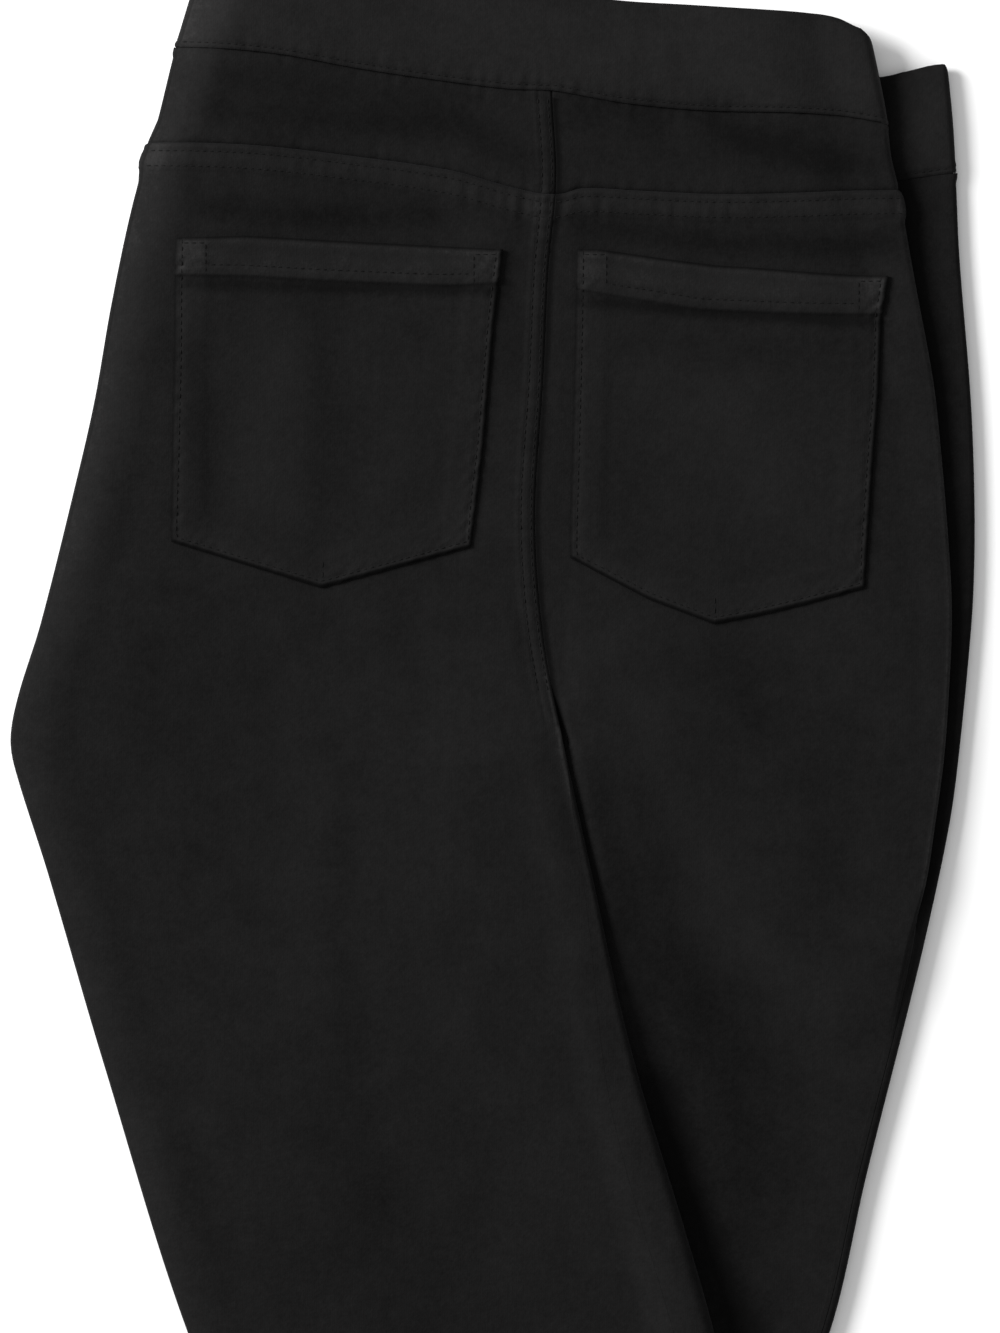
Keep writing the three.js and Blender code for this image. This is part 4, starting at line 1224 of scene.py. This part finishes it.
# the same knit painted lighter, as painted light on the waistband
band_knit_painted_light = knit_material("band_knit_painted_light", *BAND_PAINTED_LIGHT_TONES, **KNIT_FINISH)
thread = knit_material("black_thread", *THREAD_TONES, **THREAD_FINISH)
print("materials:", [material.name for material in bpy.data.materials])

# %% [markdown]
# ## The cut pieces
#
# Each piece of cloth that a maker cuts is built on its own and stands for its solid in the
# frame. Seams are real gaps with rounded edges, so they shade as seams from every side.

# %% Band and yoke rows, finer at both edges
band_shares = spaced((0.1, 0.02), (0.8, 0.05), (1, 0.013))
yoke_shares = spaced((0.12, 0.02), (0.85, 0.045), (1, 0.015))


def plain_cloth(thickness):
    return lambda across, down: np.full(np.shape(down), float(thickness))


def panel_cloth(leg):
    def cloth_at(across, down):
        hem = ease((above_hem(leg, across, down) - HEM_HEIGHT) / HEM_STEP)
        return mix(FOLDED_CLOTH, CLOTH, hem)

    return cloth_at


def dress(obj, name, material, slot):
    """Gives the cloth its material, and lets it stand for its solid in the frame."""
    obj.data.materials.append(material)
    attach(obj, "root")
    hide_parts(name)
    print(name, "quads:", len(obj.data.polygons))
    return obj


def cut_piece(name, columns, rows, cloth_at, relief=None, material=knit, slot="knit"):
    outer, inner, painted_shading = cloth_grid(columns, rows, cloth_at, relief)
    return dress(wall_mesh(name + "_cloth", outer, inner, painted_shading), name, material, slot), outer


# %% Waistband
whole_back = [*back_left[:-1], *back_right[1:]]
whole_front = [*front_right_columns(False), *front_left_columns(False)]
waist_rows = rows_between(WAIST, BAND, band_shares)
band_look = (waist_rows, plain_cloth(FOLDED_CLOTH), band_relief, band_knit_painted_light, "band")
band_back, band_back_face = cut_piece("waistband_back", whole_back, *band_look)
band_front, band_front_face = cut_piece("waistband_front", whole_front, *band_look)

# %% Yoke
yoke_rows = rows_between(BAND, YOKE, yoke_shares)
single = plain_cloth(CLOTH)
yoke_left, yoke_left_face = cut_piece("yoke_left", back_left, yoke_rows, single, yoke_relief(1))
yoke_right, yoke_right_face = cut_piece("yoke_right", back_right, yoke_rows, single, yoke_relief(-1))

# %% Leg panels
leg_left, leg_left_face = cut_piece(
    "back_left", back_left, panel_rows(LEFT_LEG, YOKE), panel_cloth(LEFT_LEG),
    back_panel_relief(1),
)
leg_right, leg_right_face = cut_piece(
    "back_right", back_right, panel_rows(RIGHT_LEG, YOKE), panel_cloth(RIGHT_LEG),
    back_panel_relief(-1),
)
under_left, under_left_face = cut_piece(
    "front_left", front_left_columns(), panel_rows(LEFT_LEG, BAND, above=8, hips=50, legs=150),
    panel_cloth(LEFT_LEG),
)
under_right, under_right_face = cut_piece(
    "front_right", front_right_columns(), panel_rows(RIGHT_LEG, BAND, above=8, hips=60, legs=150),
    panel_cloth(RIGHT_LEG),
)

# %% [markdown]
# ## Patch pockets
#
# A patch pocket is a flat piece with its edges turned in and stitched down, so it is thicker
# along its edges than in its middle, and its mouth has a wide double hem. The patch is spread
# between its four measured sides and lies on the panel below it, found by looking straight down.

# %% Pocket outlines: across, down
POCKET_SIDES = {
    "left": {
        "top": [(-137.3, 101.6), (-107.5, 100.7), (-57.8, 103.3), (1.3, 106.3)],
        "right": [
            (1.3, 106.3), (-0.4, 120.3), (-2.6, 139), (-4.7, 163.6), (-6.8, 188.7), (-9.8, 213.8),
            (-12.3, 232.5),
        ],
        "bottom": [(-139.4, 230.4), (-75.9, 249.9), (-12.3, 232.5)],
        "left": [(-137.3, 101.6), (-137.9, 120), (-138.1, 151.3), (-139, 188.7), (-139.4, 230.4)],
        "hem": [
            (-141, 117.3), (-107.5, 117.7), (-76.5, 119.4), (-45.5, 120.7), (-20.4, 121.6),
            (3, 120.3),
        ],
    },
    "right": {
        "top": [
            (32.5, 106.3), (41.7, 106.3), (51.9, 107.7), (71.4, 110.5), (90.9, 113), (110.5, 114.3),
            (130, 116), (149.6, 117.3), (164.5, 117.7),
        ],
        "right": [
            (164.5, 117.7), (161.9, 135.2), (160.7, 167.5), (158.1, 200.2), (155.9, 232.5),
            (154.7, 249.9),
        ],
        "bottom": [
            (29.8, 237.2), (45.5, 245.6), (62.5, 254.6), (90.5, 265.2), (110.5, 261.4),
            (130, 256.7), (154.7, 249.9),
        ],
        "left": [(32.5, 106.3), (32.3, 119.4), (31.9, 141.5), (31, 178.5), (29.8, 219.7), (29.8, 237.2)],
        "hem": [
            (28, 122), (45.5, 125.4), (65, 128.4), (84.6, 131.8), (104.1, 132.6), (123.7, 133.5),
            (143.2, 133.9), (168, 133.9),
        ],
    },
}
POCKET_CLOTH = 0.9
POCKET_HEM = 0.7
TURNED_EDGE = 12.5
TURNED_PROUD = 0.34
TURNED_FADE = 4.5
POCKET_STITCH = 2.8
MOUTH_STITCH = 4.6
POCKET_DENT = 0.26
POCKET_PUCKER = 0.36
POCKET_PUCKER_REACH = 4
# the mouth stands a little off the panel
MOUTH_OPEN = 0.25
MOUTH_REACH = 6
# which distance, its middle, width and amount of painted light (above 0) or painted shade (below 0):
# painted shadow at the rim, the bottom edge and under the hem, painted highlight just inside the rim and
# on the turned sides
POCKET_TONES = [
    ("rim", 0, 0.9, -4.5), ("rim", 2.1, 1.2, 1.1), ("side", 4.5, 3, 0.45),
    ("bottom", 0, 1.3, -3), ("hem", -2.4, 2.2, -0.8),
]


def along_line(points, shares):
    """Places at even shares of the length of a line of straight pieces."""
    points = np.asarray(points, float)
    steps = np.linalg.norm(np.diff(points, axis=0), axis=1)
    reached = np.concatenate([[0], np.cumsum(steps)]) / steps.sum()
    return np.stack([np.interp(shares, reached, points[:, k]) for k in (0, 1)], -1)


def spread_patch(sides, s, t):
    """A Coons patch: places inside four sides, s from left to right and t from top to bottom."""
    top, bottom = along_line(sides["top"], s), along_line(sides["bottom"], s)
    left, right = along_line(sides["left"], t), along_line(sides["right"], t)
    s, t = s[None, :, None], t[:, None, None]
    ruled = (1 - t) * top[None] + t * bottom[None] + (1 - s) * left[:, None] + s * right[:, None]
    corners = (1 - t) * ((1 - s) * top[0] + s * top[-1]) + t * ((1 - s) * bottom[0] + s * bottom[-1])
    return ruled - corners


def sewn_sides(sides):
    """The pocket's two sides and pointed bottom as one line."""
    return [*sides["left"], *sides["bottom"][1:], *sides["right"][::-1][1:]]


def distance_to(line, points):
    """Shortest distance from each point to a line of straight pieces."""
    best = np.full(points.shape[:-1], 1e9)
    for a, b in zip(np.asarray(line[:-1], float), np.asarray(line[1:], float)):
        along = clamp(((points - a) @ (b - a)) / ((b - a) @ (b - a)))
        best = np.minimum(best, np.linalg.norm(points - (a + along[..., None] * (b - a)), axis=-1))
    return best


def height_at(trees, across, down, from_below=False):
    """Height and normal of the first cloth met from above, or from below."""
    x, y = across - ORIGIN_ACROSS, ORIGIN_DOWN - down
    start, way = ((x, y, -50), (0, 0, 1)) if from_below else ((x, y, 60), (0, 0, -1))
    best = None
    for tree in trees:
        place, normal, _, _ = tree.ray_cast(Vector(start), Vector(way))
        if place is None:
            continue
        if best is None or (place.z < best[0].z if from_below else place.z > best[0].z):
            best = (place, normal)
    return best


left_tree, right_tree = surface_tree(leg_left_face), surface_tree(leg_right_face)


def patch_pocket(name, sides, tree):
    """A patch on the panel of the tree, with turned edges, a hem at its mouth and stitched lines."""
    edge = spaced((0.03, 0.006), (0.1, 0.0115), (0.9, 0.0145), (0.97, 0.0115), (1, 0.006))
    down_edge = spaced((0.02, 0.005), (0.09, 0.012), (0.14, 0.0042), (0.9, 0.0125), (1, 0.0066))
    flat = spread_patch(sides, edge, down_edge)
    ground = np.array([[height_at([tree], *p)[0].z for p in row] for row in flat])
    side_distance = distance_to(sewn_sides(sides), flat)
    mouth_distance = distance_to(sides["top"], flat)
    hem_line = np.interp(flat[..., 0], *np.asarray(sides["hem"]).T)
    above_hem_edge = hem_line - flat[..., 1]
    rim = np.minimum(side_distance, mouth_distance)
    raised = rounded(rim, 0.7, 0.6)
    raised += TURNED_PROUD * fall((side_distance - TURNED_EDGE + 1) / TURNED_FADE)
    raised += POCKET_HEM * ease((above_hem_edge + 0.5) / 1.0)
    raised -= 0.3 * bell(above_hem_edge + 1.2, 1.1)
    along = flat[..., 0] + flat[..., 1]
    for row_distance in (np.abs(side_distance - POCKET_STITCH), np.abs(above_hem_edge - MOUTH_STITCH)):
        raised -= POCKET_DENT * bell(row_distance, DENT_WIDTH)
        near = bell(row_distance, POCKET_PUCKER_REACH)
        raised += POCKET_PUCKER * near * puckers(along, flat[..., 0] * 0.4)
    lower = ground + LAYER_GAP + MOUTH_OPEN * np.exp(-mouth_distance / MOUTH_REACH)
    upper = lower + POCKET_CLOTH + raised
    x, y = flat[..., 0] - ORIGIN_ACROSS, ORIGIN_DOWN - flat[..., 1]
    outer, inner = np.stack([x, y, upper], -1), np.stack([x, y, lower], -1)
    # the pocket's painted light and shade: its relief, the strokes, and the lines of the table above
    painted_shading = raised + tone(flat[..., 0], flat[..., 1])
    bottom_distance = distance_to(sides["bottom"], flat)
    distances = {"rim": rim, "side": side_distance, "bottom": bottom_distance, "hem": above_hem_edge}
    for which, middle, width, amount in POCKET_TONES:
        painted_shading = painted_shading + amount * bell(distances[which] - middle, width)
    # painted light on the thicker corners of the mouth
    corner = np.minimum(flat[..., 0] - sides["top"][0][0], sides["top"][-1][0] - flat[..., 0])
    painted_shading = painted_shading + 0.55 * fall((corner - 11) / 2.5) * ease((above_hem_edge - 1) / 2)
    obj = dress(wall_mesh(name + "_cloth", outer, inner, painted_shading), name, knit, "pocket")
    return obj, surface_tree(outer)


pocket_left, pocket_left_tree = patch_pocket("pocket_left", POCKET_SIDES["left"], left_tree)
pocket_right, pocket_right_tree = patch_pocket("pocket_right", POCKET_SIDES["right"], right_tree)

# %% [markdown]
# ## Stitches
#
# Topstitching is a dashed line: the thread shows for two or three millimetres, then dives into
# the cloth. Each stitch is one small bead of thread with its two ends sunk. A dashed bump would
# be cheaper, but it goes flat in a low light, and here the light is low.

# %% Lay rows of stitches
PITCH = 3.1
STITCH = 2.2
THREAD = 0.22
SINK = 0.16
SIDES = 6
END_SINK = 1.6
THINNEST = 0.05
# between two ends that differ more in height lies an edge, where no stitch can lie
STEEPEST = 1.5
# share of the stitch's length, share of its thickness, how far sunk
PROFILE = [
    (0.0, 0.0, -0.9), (0.1, 0.75, -0.3), (0.3, 1.0, 0.0),
    (0.7, 1.0, 0.0), (0.9, 0.75, -0.3), (1.0, 0.0, -0.9),
]


def stitch_rows(name, rows, trees, from_below=False):
    """Beads of thread along each row of places, lying on the first cloth of the trees."""
    vertices, faces = [], []
    for row in rows:
        row = np.asarray(row, float)
        length = np.linalg.norm(np.diff(row, axis=0), axis=1).sum()
        count = max(1, int(length / PITCH))
        for n in range(count):
            shares = np.array([n + 0.5 - STITCH / PITCH / 2, n + 0.5 + STITCH / PITCH / 2]) / count
            ends = [height_at(trees, *p, from_below) for p in along_line(row, shares)]
            if None in ends or abs(ends[0][0].z - ends[1][0].z) > STEEPEST:
                continue
            (a, up), (b, _) = ends
            along = (b - a).normalized()
            across = along.cross(up).normalized()
            first = len(vertices)
            for share, size, sunk in PROFILE:
                middle = a.lerp(b, share) + up * (THREAD - SINK + sunk * THREAD * END_SINK)
                for k in range(SIDES):
                    angle = 2 * math.pi * k / SIDES
                    spoke = across * math.cos(angle) + up * math.sin(angle)
                    vertices.append(tuple((middle + spoke * THREAD * max(size, THINNEST)) * MM))
            for ring in range(len(PROFILE) - 1):
                for k in range(SIDES):
                    low, high = first + ring * SIDES, first + (ring + 1) * SIDES
                    nxt = (k + 1) % SIDES
                    faces.append((low + k, high + k, high + nxt, low + nxt))
            faces.append(tuple(first + k for k in range(SIDES)))
            last = first + (len(PROFILE) - 1) * SIDES
            faces.append(tuple(last + k for k in reversed(range(SIDES))))
    mesh = bpy.data.meshes.new(name)
    mesh.from_pydata(vertices, [], faces)
    mesh.shade_smooth()
    mesh.materials.append(thread)
    obj = add_object(name, mesh)
    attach(obj, "root")
    print(name, "stitches:", len(vertices) // (SIDES * len(PROFILE)))


def seam_row(columns, line, below):
    """A row that follows a sewn line round the upper side, a little below or above it."""
    row = []
    for column in columns:
        down = read(SEAM_LINES, column[0], line) + below
        row.append((float(column[1](np.array([down]), CLOTH)[0][0]), float(down)))
    return row


left_upper = [c for c in back_left if c[0] >= 0]
right_upper = [c for c in back_right if c[0] <= 2.06]
band_tree = surface_tree(band_back_face)
yoke_trees = [surface_tree(yoke_left_face), surface_tree(yoke_right_face)]
panel_trees = [left_tree, right_tree]

# %% Band, yoke and centre back
CENTRE_STITCHED = (42, 296)
sides = (left_upper[:-1], right_upper[1:])
stitch_rows("band_stitches", [seam_row([*sides[0], *sides[1]], BAND, -BAND_ROW)], [band_tree])
yoke_lines = [seam_row(columns, YOKE, below) for columns in sides for below in YOKE_ROWS]
stitch_rows("yoke_stitches", yoke_lines, panel_trees)
centre_downs = np.arange(*CENTRE_STITCHED, 3.0)
centre_rows = [[(float(read(CENTRE_SEAM, d)) - aside, d) for d in centre_downs] for aside in CENTRE_ROWS]
stitch_rows("centre_stitches", centre_rows, [*yoke_trees, *panel_trees])


# %% Pockets
def inset(sides, distance):
    """The pocket's sewn sides, moved in."""
    line = np.asarray(sewn_sides(sides), float)
    ways = np.gradient(line, axis=0)
    ways /= np.linalg.norm(ways, axis=1, keepdims=True)
    inwards = np.stack([ways[:, 1], -ways[:, 0]], 1)
    return line + inwards * distance


def corner_square(sides, side):
    """The tack that holds a corner of the mouth: one short row across and one down."""
    x, y = sides["top"][0] if side < 0 else sides["top"][-1]
    inner_x, outer_x = x - side * 12.5, x - side * 2.6
    return [[(outer_x, y + 2.2), (inner_x, y + 2.2)], [(inner_x, y + 2.2), (inner_x, y + 15)]]


for side_name, tree in (("left", pocket_left_tree), ("right", pocket_right_tree)):
    sides = POCKET_SIDES[side_name]
    mouth_across = np.linspace(sides["top"][0][0] + 14, sides["top"][-1][0] - 14, 9)
    mouth_down = np.interp(mouth_across, *np.asarray(sides["hem"]).T) - MOUTH_STITCH
    mouth_row = list(zip(mouth_across, mouth_down))
    tip = min(sides["bottom"][1:-1], key=lambda p: -p[1])
    mitre = [(tip[0] + 0.6, tip[1] - 12), (tip[0] + 0.6, tip[1] - 3.5)]
    rows = [inset(sides, POCKET_STITCH), mouth_row, mitre]
    rows += corner_square(sides, -1) + corner_square(sides, 1)
    stitch_rows(f"pocket_{side_name}_stitches", rows, [tree])


# %% Hems
def hem_row(leg, columns, above):
    row = []
    for column in columns:
        down = down_at_hem(leg, column, np.array([above]))
        row.append((float(column[1](down, CLOTH)[0][0]), float(down[0])))
    return row


HEM_STITCH = (19.5, 22.5)
# leg, columns, the stretch round the body that is stitched, and the cloth it lies on
HEMS = {
    "left": (LEFT_LEG, back_left, (0.01, 1.1), leg_left_face),
    "right": (RIGHT_LEG, back_right, (1.005, 2.001), leg_right_face),
    "left_under": (LEFT_LEG, front_left_columns(), (4.03, 5), under_left_face),
    "right_under": (RIGHT_LEG, front_right_columns(), (3, 3.98), under_right_face),
}
for place, (leg, columns, (low, high), face) in HEMS.items():
    columns = [column for column in columns if low < column[0] < high]
    rows = [hem_row(leg, columns, above) for above in HEM_STITCH]
    stitch_rows(f"hem_{place}_stitches", rows, [surface_tree(face)], from_below="under" in place)
tuck_columns = [column for column in front_right_columns(False) if 2.5 < column[0] < 2.9]
tuck_row = seam_row(tuck_columns, BAND, -BAND_ROW)
stitch_rows("band_tuck_stitches", [tuck_row], [surface_tree(band_front_face)])

# %% [markdown]
# ## What each sheet was cut to
#
# A pattern piece has a size on the table before it is sewn.

CUT_SIZES = [
    (band_back, (0.334, 0.045), 0.0142, ["yoke_left_cloth", "yoke_right_cloth"]),
    (band_front, (0.392, 0.047), 0.0168, ["front_left_cloth", "front_right_cloth"]),
    (yoke_left, (0.176, 0.044), 0.0068, ["front_left_cloth"]),
    (yoke_right, (0.171, 0.044), 0.0059, ["front_right_cloth"]),
    (leg_left, (0.236, 0.972), 0.176, ["front_left_cloth", "back_right_cloth"]),
    (leg_right, (0.214, 0.938), 0.169, ["front_right_cloth"]),
    (under_left, (0.242, 1.014), 0.195, ["back_right_cloth"]),
    (under_right, (0.230, 0.948), 0.186, []),
    (pocket_left, (0.142, 0.149), 0.0190, ["back_left_cloth"]),
    (pocket_right, (0.136, 0.159), 0.0190, ["back_right_cloth"]),
]
for obj, flat, area, rests_on in CUT_SIZES:
    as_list(rests_on)
    surface = sum(face.area for face in obj.data.polygons) / 2
    print(obj.name, "cloth in the model:", round(surface, 4), "m2, cut:", area)

# %% [markdown]
# ## Floor, light and camera
#
# The leggings lie on a white sweep that the light burns out almost to pure white. One wide soft
# light stands low at the left, a little towards the waist, so that the left edges glow and a
# short soft shadow falls to the right. The camera looks straight down through a long lens, which
# keeps the outline as an upright drawing would show it.

# %% Floor
FLOOR = 12.0
FLOOR_LEVEL = -0.0005
floor_mesh = bpy.data.meshes.new("floor")
corners = [(x * FLOOR, y * FLOOR, 0) for x, y in ((-1, -1), (1, -1), (1, 1), (-1, 1))]
floor_mesh.from_pydata(corners, [], [(0, 1, 2, 3)])
floor = add_object("floor", floor_mesh)
floor.location.z = FLOOR_LEVEL
floor_material = bpy.data.materials.new("white_sweep")
floor_material.use_nodes = True
white = floor_material.node_tree.nodes["Principled BSDF"]
set_inputs(white, {"Base Color": (0.9, 0.9, 0.9, 1), "Roughness": 0.9, "Specular IOR Level": 0.1})
floor_mesh.materials.append(floor_material)
print("floor level:", FLOOR_LEVEL)

# %% Light
scene = bpy.context.scene
scene.view_settings.view_transform = "Standard"
world = bpy.data.worlds.new("studio")
scene.world = world
world.use_nodes = True
set_inputs(world.node_tree.nodes["Background"], {"Color": (1, 1, 1, 1), "Strength": 0.56})
LIGHT_TARGET = Vector((0.0, 0.2, 0.0))


def soft_light(name, azimuth, elevation, distance, size, power):
    """A round light seen from the target at two angles in degrees, azimuth from the right."""
    light = bpy.data.lights.new(name, "AREA")
    light.shape = "DISK"
    light.size = size
    light.energy = power
    obj = add_object(name, light)
    a, e = math.radians(azimuth), math.radians(elevation)
    way = Vector((math.cos(e) * math.cos(a), math.cos(e) * math.sin(a), math.sin(e)))
    obj.location = LIGHT_TARGET + way * distance
    obj.rotation_euler = (-way).to_track_quat("-Z", "Y").to_euler()


soft_light("key", azimuth=157, elevation=26, distance=3.2, size=1.6, power=225)
print("lights:", [light.name for light in bpy.data.lights])

# %% Camera
PHOTO_CENTRE = (0.00318, 0.1974)
PHOTO_HEIGHT = 0.5665
CAMERA_DISTANCE = 3.4
SENSOR = 36
camera = bpy.data.cameras.new("camera")
camera.sensor_fit = "AUTO"
camera.sensor_width = SENSOR
camera.lens = SENSOR * CAMERA_DISTANCE / PHOTO_HEIGHT
camera.clip_end = 20
camera_object = add_object("camera", camera)
camera_object.location = (*PHOTO_CENTRE, CAMERA_DISTANCE)
scene.camera = camera_object
